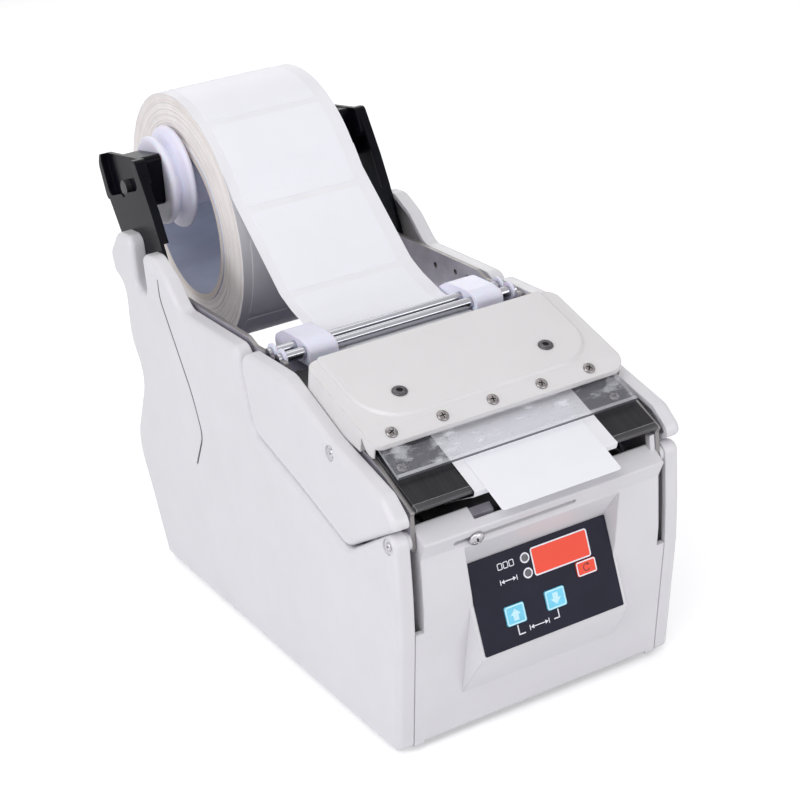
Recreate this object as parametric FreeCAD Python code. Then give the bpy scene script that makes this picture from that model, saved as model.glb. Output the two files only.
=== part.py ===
"""Desk label dispenser: peels labels off a roll and feeds them over an edge.

Millimetres.  The model is laid out with x = 0 in the middle, y = 0 at the front bottom edge of the
side covers (the front faces -y) and z = 0 at their bottom edge.  main() then moves everything so that
the origin is the bottom centre of the whole object's box.
"""
import FreeCAD, Part
import math
import os
from FreeCAD import Vector

# ------------------------------------------------------------------ driving sizes
BODY_LENGTH = 238.7        # side covers, along their bottom edge
COVER_TOP = 150.0          # level top edge of the side covers
LINER_WIDTH = 69.0         # backing paper of the loaded roll
LINER_OFFSET = 2.0         # the loaded web runs this far right of the middle
ROLL_RADIUS = 62.7         # outside of the loaded roll
CORE_BORE_RADIUS = 38.1    # three inch core
CORE_WALL = 3.0

COVER_DEPTH = 7.7          # side cover, from its rim to its outer face
COVER_WALL = 2.4
COVER_ROUND = 3.0          # rounding round the outer face
GROOVE = 0.5               # depth of the side cover's styling groove
PLATE_GAP = 1.8            # from a frame plate to a cover's rim
PLATE = 2.0                # frame plate sheet
SHEET = 1.5                # bent sheet pieces
FOOT_HEIGHT = 4.0
FOOT_DROP = 2.0            # the feet reach this far below the covers
SEAM_GAP = 1.2             # between a shoulder cover and its side cover
PLAY = 0.3                 # between pieces that move past each other
FIT = 0.05                 # radial running fit
DRILL = 0.15               # radial clearance of a screw hole

PAPER = 0.4                # web or liner
LINER_END_Z = 7.0          # the used liner hangs down to just above its slot in the base
GUIDE_WIDTH = 14.0
GUIDE_GAP = 0.8            # from an edge guide to the web
GUIDE_TRAVEL = 6.0         # outward travel of the right-hand guide
ROD_COLLAR = 1.2           # collar on each rod end, along x
ROD_RADIUS = 2.5
ROD_FRONT_Y = 91.0
ROD_REAR_Y = 100.2
ROD_DROP = 1.2             # rods' centre below COVER_TOP

PEEL_EDGE_Y = -18.4
PEEL_EDGE_DROP = 32.6
PEEL_SLOPE = 23.6          # degrees
PEEL_PLATE = 2.0
PINCH_RADIUS = 6.0
DRIVE_RADIUS = 8.0
NIP_GAP = 1.0
PINCH_SHAFT = 2.5
DRIVE_SHAFT = 4.0
PINCH_Y = 2.0
PINCH_DROP = 52.5
NIP_FALL = 9.7             # degrees that the drive roller sits below the pinch roller's level

PANEL_WALL = 3.0
PANEL_HINGE_Y = 6.0
PANEL_HINGE_Z = 5.0
HINGE_PIN_RADIUS = 2.0
PANEL_BOTTOM = 0.8
KEYPAD_WIDTH = 69.0
KEYPAD_HEIGHT = 40.1
KEYPAD_TILT = 74.6         # degrees of its face above the horizontal
KEYPAD_Y = -19.2           # bottom edge of the keypad's face
KEYPAD_DROP = 107.7
KEY_TRAVEL = 0.4

TOP_WALL = 2.4             # lid
FIELD_RISE = 1.2           # the lid's raised field above its flange
FLANGE_WIDE = 7.0          # the lid's flange beside the field
LIP_SCREW_PLACE = 4.6      # screws' line behind the lip's front edge
LIP_SCREW_PITCH = 24.0
LIP_SCREW_SHIFT = -2.6     # the row sits left of the middle
LIP_SHANK = 1.3
HEX_SCREW_X = 35.85
HEX_SCREW_PLACE = 13.2
GUARD = 1.5
PEEL_SCREW_IN = 6.6        # peel plate screws, in from the frame plates
PEEL_SCREW_PLACE = 23.4
PEEL_SINK = 1.0
LABEL_LEFT, LABEL_RIGHT = -27.5, 29.7
LABEL_HELD = 26.5          # of the dispensed label, behind the peel edge
LABEL_OUT = 15.5           # and past it

MOTOR_SHAFT = 2.5
M3 = 1.5
HUB_RISE = 22.0            # spindle's centre above the roll's centre
HUB_SHIFT = 1.6            # and behind it
AXLE_RADIUS = 4.0
MOTOR_SIZE = 42.0
MOTOR_LENGTH = 38.0

# ------------------------------------------------------------------ worked-out places
LINER_LEFT = LINER_OFFSET - LINER_WIDTH / 2
LINER_RIGHT = LINER_OFFSET + LINER_WIDTH / 2
PLATE_IN = LINER_RIGHT + GUIDE_GAP + GUIDE_WIDTH + GUIDE_TRAVEL + ROD_COLLAR
PLATE_OUT = PLATE_IN + PLATE
PEEL_SCREW_X = PLATE_IN - PEEL_SCREW_IN
RIM = PLATE_OUT + PLATE_GAP
HALF = RIM + COVER_DEPTH
REAR = BODY_LENGTH
TOP = COVER_TOP
BASE_Z = FOOT_HEIGHT - FOOT_DROP           # underside of the base plate

ROLL_Y = REAR + 2.2
ROLL_Z = TOP + 21.0
AXLE_Y = ROLL_Y + HUB_SHIFT
AXLE_Z = ROLL_Z + HUB_RISE
BARREL_RADIUS = CORE_BORE_RADIUS - PLAY - math.hypot(HUB_RISE, HUB_SHIFT)
ROD_Z = TOP - ROD_DROP
PINCH_Z = TOP - PINCH_DROP
NIP = math.radians(NIP_FALL)
NIP_DIR = (math.cos(NIP), -math.sin(NIP))
DRIVE_Y = PINCH_Y + (PINCH_RADIUS + DRIVE_RADIUS + NIP_GAP) * NIP_DIR[0]
DRIVE_Z = PINCH_Z + (PINCH_RADIUS + DRIVE_RADIUS + NIP_GAP) * NIP_DIR[1]
PEEL_EDGE_Z = TOP - PEEL_EDGE_DROP
KEYPAD_Z = TOP - KEYPAD_DROP
PANEL_HALF = PLATE_IN - PLAY
MOTOR_Y = DRIVE_Y + 39.0
MOTOR_Z = DRIVE_Z
MOTOR_FACE = PLATE_IN - 8.5


# ------------------------------------------------------------------ helpers
def outline(points):
    """Closed wire in the YZ plane through (y, z) or (y, z, corner radius) points."""
    count = len(points)
    trims = []
    for i, point in enumerate(points):
        here = Vector(0, point[0], point[1])
        before = Vector(0, points[i - 1][0], points[i - 1][1])
        after = Vector(0, points[(i + 1) % count][0], points[(i + 1) % count][1])
        radius = point[2] if len(point) > 2 else 0.0
        a = (before - here).normalize()
        b = (after - here).normalize()
        half = a.getAngle(b) / 2
        if radius == 0.0 or abs(half - math.pi / 2) < 1e-6:
            trims.append((here, None, here))
            continue
        back = radius / math.tan(half)
        middle = here + (a + b).normalize() * (radius / math.sin(half) - radius)
        trims.append((here + a * back, middle, here + b * back))
    edges = []
    for i, (start, middle, end) in enumerate(trims):
        if middle is not None:
            edges.append(Part.Arc(start, middle, end).toShape())
        following = trims[(i + 1) % count][0]
        if end.distanceToPoint(following) > 1e-7:
            edges.append(Part.makeLine(end, following))
    return Part.Wire(edges)


def prism(points, x0, x1):
    """The outline, pushed along x from x0 to x1."""
    face = Part.Face(outline(points))
    face.translate(Vector(x0, 0, 0))
    return face.extrude(Vector(x1 - x0, 0, 0))


def offset_line(points, distance):
    """An open line of (y, z, radius) points, moved to its left by a distance."""
    moved = []
    for i, point in enumerate(points):
        normals = []
        for a, b in ((i - 1, i), (i, i + 1)):
            if a >= 0 and b < len(points):
                dy = points[b][0] - points[a][0]
                dz = points[b][1] - points[a][1]
                length = math.hypot(dy, dz)
                normals.append((-dz / length, dy / length))
        ny = sum(n[0] for n in normals)
        nz = sum(n[1] for n in normals)
        scale = distance * len(normals) / (ny * ny + nz * nz)
        radius = point[2] if len(point) > 2 else 0.0
        if radius and len(normals) == 2:
            turn = normals[0][0] * normals[1][1] - normals[0][1] * normals[1][0]
            radius = max(radius - math.copysign(distance, turn), 0.0)
        moved.append((point[0] + ny * scale, point[1] + nz * scale, radius))
    return moved


def strip(points, thickness):
    """Outline of a bent sheet: the line itself and the same line moved to its left."""
    return list(points) + offset_line(points, thickness)[::-1]


def box(x0, x1, y0, y1, z0, z1):
    return Part.makeBox(x1 - x0, y1 - y0, z1 - z0, Vector(x0, y0, z0))


def rod(y, z, radius, x0, x1):
    return Part.makeCylinder(radius, x1 - x0, Vector(x0, y, z), Vector(1, 0, 0))


def tube(y, z, outer, inner, x0, x1):
    return rod(y, z, outer, x0, x1).cut(rod(y, z, inner, x0, x1))


def turned(profile, y, z):
    """A piece turned about an axis along x; profile is a list of (x, radius) points."""
    wire = Part.makePolygon([Vector(x, 0, r) for x, r in profile + profile[:1]])
    solid = Part.Face(wire).revolve(Vector(0, 0, 0), Vector(1, 0, 0), 360)
    solid.translate(Vector(0, y, z))
    return solid


def rounded_plan(x0, x1, y0, y1, radius):
    """Closed wire in the XY plane: a rectangle with rounded corners."""
    r = radius
    spots = [(x0 + r, y0, x1 - r, y0), (x1, y0 + r, x1, y1 - r), (x1 - r, y1, x0 + r, y1), (x0, y1 - r, x0, y0 + r)]
    centres = [(x1 - r, y0 + r), (x1 - r, y1 - r), (x0 + r, y1 - r), (x0 + r, y0 + r)]
    edges = []
    for i, (ax, ay, bx, by) in enumerate(spots):
        edges.append(Part.makeLine(Vector(ax, ay, 0), Vector(bx, by, 0)))
        angle = math.radians(-45 + 90 * i)
        middle = Vector(centres[i][0] + r * math.cos(angle), centres[i][1] + r * math.sin(angle), 0)
        following = spots[(i + 1) % 4]
        edges.append(Part.Arc(Vector(bx, by, 0), middle, Vector(following[0], following[1], 0)).toShape())
    return Part.Wire(edges)


def pad(x0, x1, y0, y1, z0, z1, radius):
    """Flat piece with rounded corners, modelled lying in the XY plane."""
    face = Part.Face(rounded_plan(x0, x1, y0, y1, radius))
    face.translate(Vector(0, 0, z0))
    return face.extrude(Vector(0, 0, z1 - z0))


def frustum(low, low_z, high, high_z):
    """Tapered block between two rectangles (x0, x1, y0, y1) at two heights."""
    wires = []
    for (x0, x1, y0, y1), z in ((low, low_z), (high, high_z)):
        corners = [(x0, y0), (x1, y0), (x1, y1), (x0, y1), (x0, y0)]
        wires.append(Part.makePolygon([Vector(x, y, z) for x, y in corners]))
    return Part.makeLoft(wires, True, True)


def lean(shape, y, z, angle):
    """Tilt a piece modelled in the XY plane about x, and move its origin to (y, z)."""
    shape = shape.copy()
    shape.rotate(Vector(0, 0, 0), Vector(1, 0, 0), angle)
    shape.translate(Vector(0, y, z))
    return shape


def mirrored(shape):
    return shape.mirror(Vector(0, 0, 0), Vector(1, 0, 0))


def fillet_where(shape, radius, test):
    """Round the edges whose bounding box passes the test."""
    return shape.makeFillet(radius, [edge for edge in shape.Edges if test(edge.BoundBox)])


def joined(pieces):
    first, rest = pieces[0], pieces[1:]
    return first.fuse(rest).removeSplitter() if rest else first


def group(pieces):
    return Part.makeCompound(pieces)


def screw(head_radius, head_height, shank_radius, length):
    """Screw along +z: underside of the head at z = 0, shank below."""
    head = Part.makeCone(head_radius, head_radius * 0.8, head_height)
    return joined([head, Part.makeCylinder(shank_radius, length, Vector(0, 0, -length))])


def at(shape, x, y, z, axis=None):
    """Move a piece modelled along +z to a point, pointing along an axis."""
    turn = FreeCAD.Rotation(Vector(0, 0, 1), axis) if axis is not None else FreeCAD.Rotation()
    moved = shape.copy()
    moved.Placement = FreeCAD.Placement(Vector(x, y, z), turn).multiply(moved.Placement)
    return moved


# ------------------------------------------------------------------ lines that several pieces share
PEEL = math.radians(PEEL_SLOPE)
ALONG_PEEL = (math.cos(PEEL), math.sin(PEEL))
NORMAL_PEEL = (-math.sin(PEEL), math.cos(PEEL))
WEB_TOP_AT_RODS = ROD_Z - ROD_RADIUS - PLAY
DECK_SLOPE = 10.1                                  # degrees, behind the peel plate's bend
DECK_BEND_Y = 14.2
DECK_BEND_Z = PEEL_EDGE_Z + (DECK_BEND_Y - PEEL_EDGE_Y) * math.tan(PEEL)
DECK_REAR_Y = 84.0
DECK_REAR_Z = DECK_BEND_Z + (DECK_REAR_Y - DECK_BEND_Y) * math.tan(math.radians(DECK_SLOPE))


def front_face_y(z):
    """The front panel's lower face leans forward as it rises."""
    return -0.2111 * z


FACE_KNEE_Z = TOP - 90.3
FACE_LINE = [(front_face_y(PANEL_BOTTOM), PANEL_BOTTOM), (front_face_y(FACE_KNEE_Z), FACE_KNEE_Z),
             (-14.6, TOP - 80.0), (-16.5, TOP - 55.6)]
LIP_FRONT = (-20.9, TOP - 48.0)
LIP_REAR = (-12.0, TOP - 41.6)

SHOULDER_REAR = 109.5
SEAM = [(SHOULDER_REAR, TOP + 1.5), (SHOULDER_REAR + 0.6, TOP - 10.0, 20.0), (SHOULDER_REAR - 4.0, TOP - 37.0, 7.0),
        (62.8, TOP - 49.6, 60.0), (25.5, TOP - 62.5, 8.0), (-18.6, TOP - 39.0)]


def web_route():
    """Top side of the web, from the roll to the peel edge."""
    angle = math.radians(148.0)
    radius = ROLL_RADIUS + PLAY + PAPER
    start = (ROLL_Y + radius * math.cos(angle), ROLL_Z + radius * math.sin(angle))
    sag = [(ROLL_Y - radius + 3.2, ROLL_Z + 23.4, 3.0), (ROD_REAR_Y + 41.3, TOP + 7.8, 14.0),
           (ROD_REAR_Y + 31.0, TOP + 2.9, 14.0), (ROD_REAR_Y + 15.2, TOP - 2.0, 20.0)]
    wrap = ROD_RADIUS + PLAY
    lift = PLAY + PAPER
    edge = (PEEL_EDGE_Y + NORMAL_PEEL[0] * lift, PEEL_EDGE_Z + NORMAL_PEEL[1] * lift)
    knee = (DECK_BEND_Y, edge[1] + (DECK_BEND_Y - edge[0]) * math.tan(PEEL), 30.0)
    rods = [(ROD_REAR_Y + 0.4, WEB_TOP_AT_RODS, wrap), (ROD_FRONT_Y - 0.2, WEB_TOP_AT_RODS, wrap)]
    return [start] + sag + rods + [knee, edge]


def liner_route():
    """Inner side of the liner, round the peel edge, through the nip and down to the base."""
    ahead, below = 0.9, PEEL_PLATE + PLAY
    corners = []
    for drop in (-PLAY, below):
        y = PEEL_EDGE_Y - ahead * ALONG_PEEL[0] - drop * NORMAL_PEEL[0]
        z = PEEL_EDGE_Z - ahead * ALONG_PEEL[1] - drop * NORMAL_PEEL[1]
        corners.append((y, z, 0.8))
    start = (PEEL_EDGE_Y + NORMAL_PEEL[0] * PLAY, PEEL_EDGE_Z + NORMAL_PEEL[1] * PLAY)
    wrap = PINCH_RADIUS + PLAY + PAPER
    y, z = corners[1][0], corners[1][1]
    reach = math.hypot(PINCH_Y - y, PINCH_Z - z)
    slope = math.atan2(PINCH_Z - z, PINCH_Y - y) + math.asin(wrap / reach)
    nip = (PINCH_Y + wrap * NIP_DIR[0], PINCH_Z + wrap * NIP_DIR[1])
    down = (NIP_DIR[1], -NIP_DIR[0])
    # where the line from the edge meets the line through the nip
    det = math.cos(slope) * -down[1] + math.sin(slope) * down[0]
    run = ((nip[0] - y) * -down[1] + (nip[1] - z) * down[0]) / det
    meet = (y + run * math.cos(slope), z + run * math.sin(slope), wrap)
    turn = (nip[0] + 11.0 * down[0], nip[1] + 11.0 * down[1], 10.0)
    return [start] + corners + [meet, turn, (16.0, LINER_END_Z)]


# ------------------------------------------------------------------ frame
def base_plate():
    pan = box(-PLATE_IN, PLATE_IN, 11.0, REAR - 3.5, BASE_Z, BASE_Z + PLATE)
    flanges = [box(s * PLATE_IN - (PLATE if s > 0 else 0), s * PLATE_IN + (PLATE if s < 0 else 0),
                   24.0, REAR - 3.5, BASE_Z + PLATE, BASE_Z + 13.0) for s in (-1, 1)]
    plate = joined([pan] + flanges)
    plate = plate.cut(box(LINER_LEFT - 3, LINER_RIGHT + 3, 13.0, 19.0, 0, BASE_Z + 5))
    vents = [pad(-30, 30, REAR - 60 + 9 * i, REAR - 56 + 9 * i, 0, BASE_Z + 3, 1.9) for i in range(4)]
    return plate.cut(vents)


FOOT_PLACES = [(x, y) for x in (12.5 - PLATE_IN, PLATE_IN - 12.5) for y in (34, REAR - 22)]


def rubber_feet():
    feet = []
    for x, y in FOOT_PLACES:
        foot = Part.makeCone(6.2, 7.5, FOOT_HEIGHT, Vector(x, y, BASE_Z - FOOT_HEIGHT))
        feet.append(foot)
    return group(feet)


PLATE_STEP = (DECK_BEND_Y, TOP - 19.8)          # the frame plates' top edge under the lid
PLATE_RISE = (83.0, TOP - 8.5)
BUSH_RADIUS = 7.0
PLATE_HOLES = [(128.8, TOP - 5.0, 1.4), (139.7, TOP - 4.8, 1.4), (158.5, TOP - 6.0, 1.5)]
ARM_SCREWS = [(REAR - 42.0, TOP - 16.0), (REAR - 18.0, TOP - 16.0), (REAR - 34.0, TOP - 33.0)]
COVER_SCREWS = [(-11.6, TOP - 47.7)]
COVER_HOOKS = [(60.0, 20.0), (200.0, 20.0), (REAR - 22.0, TOP - 78.0)]
SHOULDER_SCREWS = [(30.5, TOP - 21.6)]
SHOULDER_HOOKS = [(88.0, TOP - 21.0)]
HOOK_RADIUS = 2.2
GROOVE_LINE = [(REAR - 45.0, TOP + 11.0), (REAR - 44.6, TOP + 1.5, 14.0), (REAR - 67.2, TOP - 40.0, 60.0),
               (REAR - 73.0, TOP - 60.0, 12.0), (REAR - 60.4, TOP - 78.7)]
MOTOR_BOLTS = [(MOTOR_Y + dy, MOTOR_Z + dz) for dy in (-15.5, 15.5) for dz in (-15.5, 15.5)]


def frame_plate(side):
    edge = 3.4
    points = [
        (front_face_y(1.5) + edge + 0.2, 1.5, 3.0), (front_face_y(FACE_KNEE_Z - 4) + edge, FACE_KNEE_Z - 4, 2.0),
        (6.0, FACE_KNEE_Z + 2, 6.0), (6.0, TOP - 57.0, 6.0), (-14.6, TOP - 52.5, 3.0),
        (-15.6, TOP - 36.0, 2.0), (PEEL_EDGE_Y + 1.2, PEEL_EDGE_Z - 1.6, 1.0), (DECK_BEND_Y - 6, DECK_BEND_Z - 3.6),
        PLATE_STEP + (4.0,), PLATE_RISE + (1.5,), (84.0, TOP - 0.6, 1.0),
        (113.0, TOP - 1.4, 3.0), (120.0, TOP + 1.2, 3.0), (REAR - 3.0, TOP + 1.2, 5.0),
        (REAR - 4.0, TOP - 45.0, 20.0), (REAR + 8.0, TOP - 88.0, 25.0), (REAR - 2.5, 2.0, 4.0)]
    plate = prism(points, PLATE_IN, PLATE_OUT)
    cuts = [rod(PANEL_HINGE_Y, PANEL_HINGE_Z, HINGE_PIN_RADIUS, 0, HALF)]
    cuts += [rod(DRIVE_Y, DRIVE_Z, BUSH_RADIUS, 0, HALF)]
    for y, z, r in PLATE_HOLES:
        cuts.append(rod(y, z, r, 0, HALF))
    cuts += [rod(y, ROD_Z, ROD_RADIUS, 0, HALF) for y in (ROD_FRONT_Y, ROD_REAR_Y)]
    for y, z in ARM_SCREWS + COVER_SCREWS + SHOULDER_SCREWS:
        cuts.append(rod(y, z, M3 + DRILL, 0, HALF))
    for y, z in COVER_HOOKS + SHOULDER_HOOKS:
        cuts.append(rod(y, z, HOOK_RADIUS + DRILL, 0, HALF))
    if side > 0:
        cuts += [rod(y, z, M3 + DRILL, 0, HALF) for y, z in MOTOR_BOLTS]
    plate = plate.cut(cuts)
    return plate if side > 0 else mirrored(plate)


# ------------------------------------------------------------------ covers
def side_cover_outline():
    """Main side cover: leaning front, waisted rear, and two lobes with a slot for a shaft between them."""
    lower_seam = offset_line(SEAM, SEAM_GAP)
    front = [(0.0, 0.0, 4.0), (front_face_y(FACE_KNEE_Z), FACE_KNEE_Z, 80.0), (-14.9, TOP - 70.0, 60.0),
             (-16.9, TOP - 39.5, 4.5)]
    seam = lower_seam[4:0:-1]
    upper = [(lower_seam[0][0] + 0.4, TOP, 7.0), (REAR - 65.0, TOP, 10.0), (REAR - 52.0, TOP + 13.0, 14.0),
             (REAR - 38.5, TOP + 20.2, 12.0), (REAR - 27.5, TOP + 19.2, 3.5), (REAR - 26.8, TOP - 1.5, 4.6),
             (REAR - 13.8, TOP - 1.5, 4.6), (REAR - 14.6, TOP + 24.5, 5.0), (REAR + 2.0, TOP + 23.4, 9.0),
             (REAR + 14.2, TOP + 11.5, 7.0), (REAR + 12.4, TOP + 0.6, 5.0), (REAR + 1.6, TOP - 3.6, 8.0),
             (REAR + 5.2, TOP - 31.0, 24.0), (REAR - 5.0, TOP - 50.0, 18.0), (REAR + 19.5, TOP - 91.0, 26.0),
             (REAR + 10.0, 33.0, 30.0), (REAR, 0.0, 3.0)]
    return front + seam + upper


def shoulder_outline():
    seam = [(y, z) + tuple(r) for y, z, *r in SEAM]
    top = [(-17.8, TOP - 34.5, 5.0), (-9.5, TOP - 27.3, 6.0), (30.1, TOP - 16.9, 40.0), (68.8, TOP - 0.4, 16.0)]
    ends = [(SHOULDER_REAR, TOP - 0.4, 6.5)]
    return ends + seam[1:5] + [(-18.8, TOP - 38.6, 3.0)] + top


def shell(points, screws, hooks, groove):
    """A moulded cover: hollow, rounded round its outer face, with a screw boss and push-in pegs."""
    outer = prism(points, RIM, HALF)
    outer = fillet_where(outer, COVER_ROUND, lambda b: b.XMin > HALF - 1e-6)
    inner = Part.Face(outline(points)).makeOffset2D(-COVER_WALL)
    inner.translate(Vector(RIM - 1, 0, 0))
    hollow = inner.extrude(Vector(COVER_DEPTH + 1 - COVER_WALL, 0, 0))
    cover = outer.cut(hollow)
    bosses = [rod(y, z, 4.0, PLATE_OUT, HALF - COVER_WALL) for y, z in screws + hooks]
    pegs = [rod(y, z, HOOK_RADIUS, PLATE_IN - 0.6, PLATE_OUT) for y, z in hooks]
    cover = joined([cover] + bosses + pegs)
    holes = [rod(y, z, M3 + DRILL, 0, HALF + 1) for y, z in screws]
    sinks = [rod(y, z, 3.4, HALF - 1.0, HALF + 1) for y, z in screws]
    line = [prism(strip(groove, 1.2), HALF - GROOVE, HALF + 1)] if groove else []
    return cover.cut(holes + sinks + line)


def side_screws():
    pieces = []
    for side in (-1, 1):
        for y, z in COVER_SCREWS + SHOULDER_SCREWS:
            one = screw(3.1, 1.4, M3, HALF - 1.0 - PLATE_IN)
            pieces.append(at(one, side * (HALF - 1.0), y, z, Vector(side, 0, 0)))
    return group(pieces)


COVER_FRONT = (16.2, TOP - 7.7)                 # front edge of the lid's field
COVER_REAR = (61.3, TOP + 7.3)
LIP_EDGE = (7.5, TOP - 14.4)
COVER_SLOPE = math.degrees(math.atan2(COVER_REAR[1] - COVER_FRONT[1], COVER_REAR[0] - COVER_FRONT[0]))
COVER_DEEP = math.hypot(COVER_REAR[1] - COVER_FRONT[1], COVER_REAR[0] - COVER_FRONT[0])
LIP_ANGLE = math.degrees(math.atan2(COVER_FRONT[1] - LIP_EDGE[1], COVER_FRONT[0] - LIP_EDGE[0]))
LIP_LONG = math.hypot(COVER_FRONT[1] - LIP_EDGE[1], COVER_FRONT[0] - LIP_EDGE[0])
LIP_FALL = math.tan(math.radians(LIP_ANGLE - COVER_SLOPE))
LIP_SCREWS = [LIP_SCREW_SHIFT + LIP_SCREW_PITCH * i for i in (-2, -1, 0, 1, 2)]
HEX_SCREWS = [(-HEX_SCREW_X, HEX_SCREW_PLACE), (HEX_SCREW_X, HEX_SCREW_PLACE)]
HEX_DEEP = FIELD_RISE + TOP_WALL + GUARD + 1.0
LID_HALF = RIM - 0.4
FIELD_HALF = LID_HALF - FLANGE_WIDE
GUARD_HALF = PLATE_IN - 0.5


def on_slope(place, angle, along, off):
    """A (y, z) point on a sloping plane: a distance up it from a place, and a distance off it."""
    turn = math.radians(angle)
    return (place[0] + along * math.cos(turn) - off * math.sin(turn),
            place[1] + along * math.sin(turn) + off * math.cos(turn))


def lid_form(wall):
    """Outer (wall 0) or inner form of the lid, in the plane of its field: the flange level and all below it."""
    fold = -FIELD_RISE / LIP_FALL
    drop = wall + FIELD_RISE
    front = -LIP_LONG * math.cos(math.radians(LIP_ANGLE - COVER_SLOPE))
    reach = front - (20.0 if wall else 0.0)
    profile = [(reach, -drop + (reach - fold) * LIP_FALL), (fold, -drop), (COVER_DEEP - wall, -drop),
               (COVER_DEEP - wall, -40.0), (reach, -40.0)]
    form = prism(profile, -LID_HALF + wall, LID_HALF - wall)
    if wall:
        return form
    return form.common(pad(-LID_HALF, LID_HALF, front, COVER_DEEP, -50.0, 5.0, 6.0))


def lid_field():
    """Raised field of the lid, with a soft edge and round front corners."""
    upper = rounded_plan(-FIELD_HALF, FIELD_HALF, 0.0, COVER_DEEP + 40.0, 20.0)
    lower = rounded_plan(-FIELD_HALF - 1.2, FIELD_HALF + 1.2, -1.8, COVER_DEEP + 40.0, 21.2)
    lower.translate(Vector(0, 0, -FIELD_RISE - 0.4))
    block = Part.makeLoft([lower, upper], True, True)
    return block.common(pad(-LID_HALF, LID_HALF, -20.0, COVER_DEEP, -20.0, 5.0, 6.0))


def top_cover():
    """Lid over the web: a raised field, a flange round it, side walls, and a front lip that clamps the guard."""
    lid = lid_form(0.0).fuse(lid_field()).cut(lid_form(TOP_WALL))
    open_front = prism([(-30.0, -40.0), (-30.0, -30.0), (-1.6, -FIELD_RISE - TOP_WALL - 0.6), (-1.6, -40.0)], -HALF, HALF)
    open_rear = box(-LID_HALF + TOP_WALL, LID_HALF - TOP_WALL, COVER_DEEP - 9.0, COVER_DEEP + 9.0, -45.0, -6.2)
    lid = cover_plane(lid.cut([open_front, open_rear]))
    under = prism([(-30.0, 0.0), (-30.0, TOP - 27.1), PLATE_STEP, PLATE_RISE,
                   (REAR, TOP + 17.0), (REAR, 0.0)], -HALF, HALF)
    lid = lid.cut([under] + lid_holes())
    return max(lid.Solids, key=lambda solid: solid.Volume)


def cover_plane(shape):
    """Place a piece modelled on the lid's raised field."""
    return lean(shape, COVER_FRONT[0], COVER_FRONT[1], COVER_SLOPE)


def lip_plane(shape):
    """Place a piece modelled on the lid's front lip."""
    return lean(shape, LIP_EDGE[0], LIP_EDGE[1], LIP_ANGLE)


def lid_holes():
    field = [cover_plane(Part.makeCylinder(M3 + DRILL, 12, Vector(x, y, -9))) for x, y in HEX_SCREWS]
    lip = [lip_plane(Part.makeCylinder(LIP_SHANK + DRILL, 12, Vector(x, LIP_SCREW_PLACE, -9))) for x in LIP_SCREWS]
    return field + lip


def cover_hex_screws():
    return group([cover_plane(at(screw(3.4, 1.6, M3, HEX_DEEP), x, y, 0)) for x, y in HEX_SCREWS])


def pan_head_screws():
    """Equal screws: a row in the lid's lip, and one at each end of the peel plate."""
    one = screw(2.6, 1.2, LIP_SHANK, TOP_WALL + GUARD + 1.2)
    lip = [lip_plane(at(one, x, LIP_SCREW_PLACE, 0)) for x in LIP_SCREWS]
    return group(lip + [peel_plane(at(one, x, PEEL_SCREW_PLACE, -PEEL_SINK)) for x in (-PEEL_SCREW_X, PEEL_SCREW_X)])


def clear_guard():
    """Bent clear strip, clamped under the lid, that keeps the web down in front of it."""
    below = -FIELD_RISE - TOP_WALL
    fold = on_slope(COVER_FRONT, COVER_SLOPE, -FIELD_RISE / LIP_FALL, below)
    tail = on_slope(COVER_FRONT, COVER_SLOPE, HEX_SCREW_PLACE + 7.0, below)
    bend = on_slope(LIP_EDGE, LIP_ANGLE, -1.2, -TOP_WALL * math.cos(math.radians(LIP_ANGLE - COVER_SLOPE)))
    low = (PEEL_EDGE_Y + 13.4, PEEL_EDGE_Z + 8.9)
    guard = prism(strip([tail, fold, bend + (4.0,), low], GUARD), -GUARD_HALF, GUARD_HALF)
    return guard.cut(lid_holes())


# ------------------------------------------------------------------ front panel
FRONT_LINE = FACE_LINE + [LIP_FRONT, LIP_REAR]
PANEL_INNER = offset_line(FRONT_LINE, -PANEL_WALL)
LIP_TILT = math.degrees(math.atan2(LIP_REAR[1] - LIP_FRONT[1], LIP_REAR[0] - LIP_FRONT[0]))
BEVEL_TILT = math.degrees(math.atan2(LIP_FRONT[1] - FACE_LINE[3][1], LIP_FRONT[0] - FACE_LINE[3][0]))
SENSOR_LEFT, SENSOR_RIGHT = -32.6, 24.0         # notch in the lip that the label sensor travels in
KNOB_X = -33.3
KNOB_UP = 3.2                                   # up the bevel from its lower edge
SLOT_LEFT, SLOT_RIGHT = -43.5, 15.3
SENSOR_TRAVEL = 45.0
STEM_RADIUS = 0.9
SENSOR_DEEP = 4.4
RAIL_HALF = KEYPAD_WIDTH / 2 + 5.0
RESET_RIGHT = KEYPAD_WIDTH / 2 - 9.2
WINDOW_RIGHT = KEYPAD_WIDTH / 2 - 10.5
KEYS = {"reset_key": (RESET_RIGHT - 9.7, RESET_RIGHT, 18.3, 24.6), "length_up_key": (-21.8, -12.4, 8.9, 17.3),
        "length_down_key": (-1.9, 7.7, 9.3, 17.7)}
WINDOW = (WINDOW_RIGHT - 27.7, WINDOW_RIGHT, 25.5, 37.2)
LAMPS = [(WINDOW[0] - 3.2, y) for y in (34.3, 27.7)]
OVERLAY = 0.6
WING = 2.4                                      # thickness of the strips beside the finger slots' lower ends
KEY_GAP = 0.25
BOARD_DEEP = 7.4                                # keypad board's front, below the keypad's seat
BOARD_HALF = KEYPAD_WIDTH / 2 - 2.0             # keypad board
POSTS = [(x, y) for x in (2.5 - BOARD_HALF, BOARD_HALF - 2.5) for y in (4.0, KEYPAD_HEIGHT - 4.1)]


def keypad_plane(shape):
    """Place a piece modelled on the keypad's seat: x across, y up the slope, z outward."""
    return lean(shape, KEYPAD_Y, KEYPAD_Z, KEYPAD_TILT)


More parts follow.
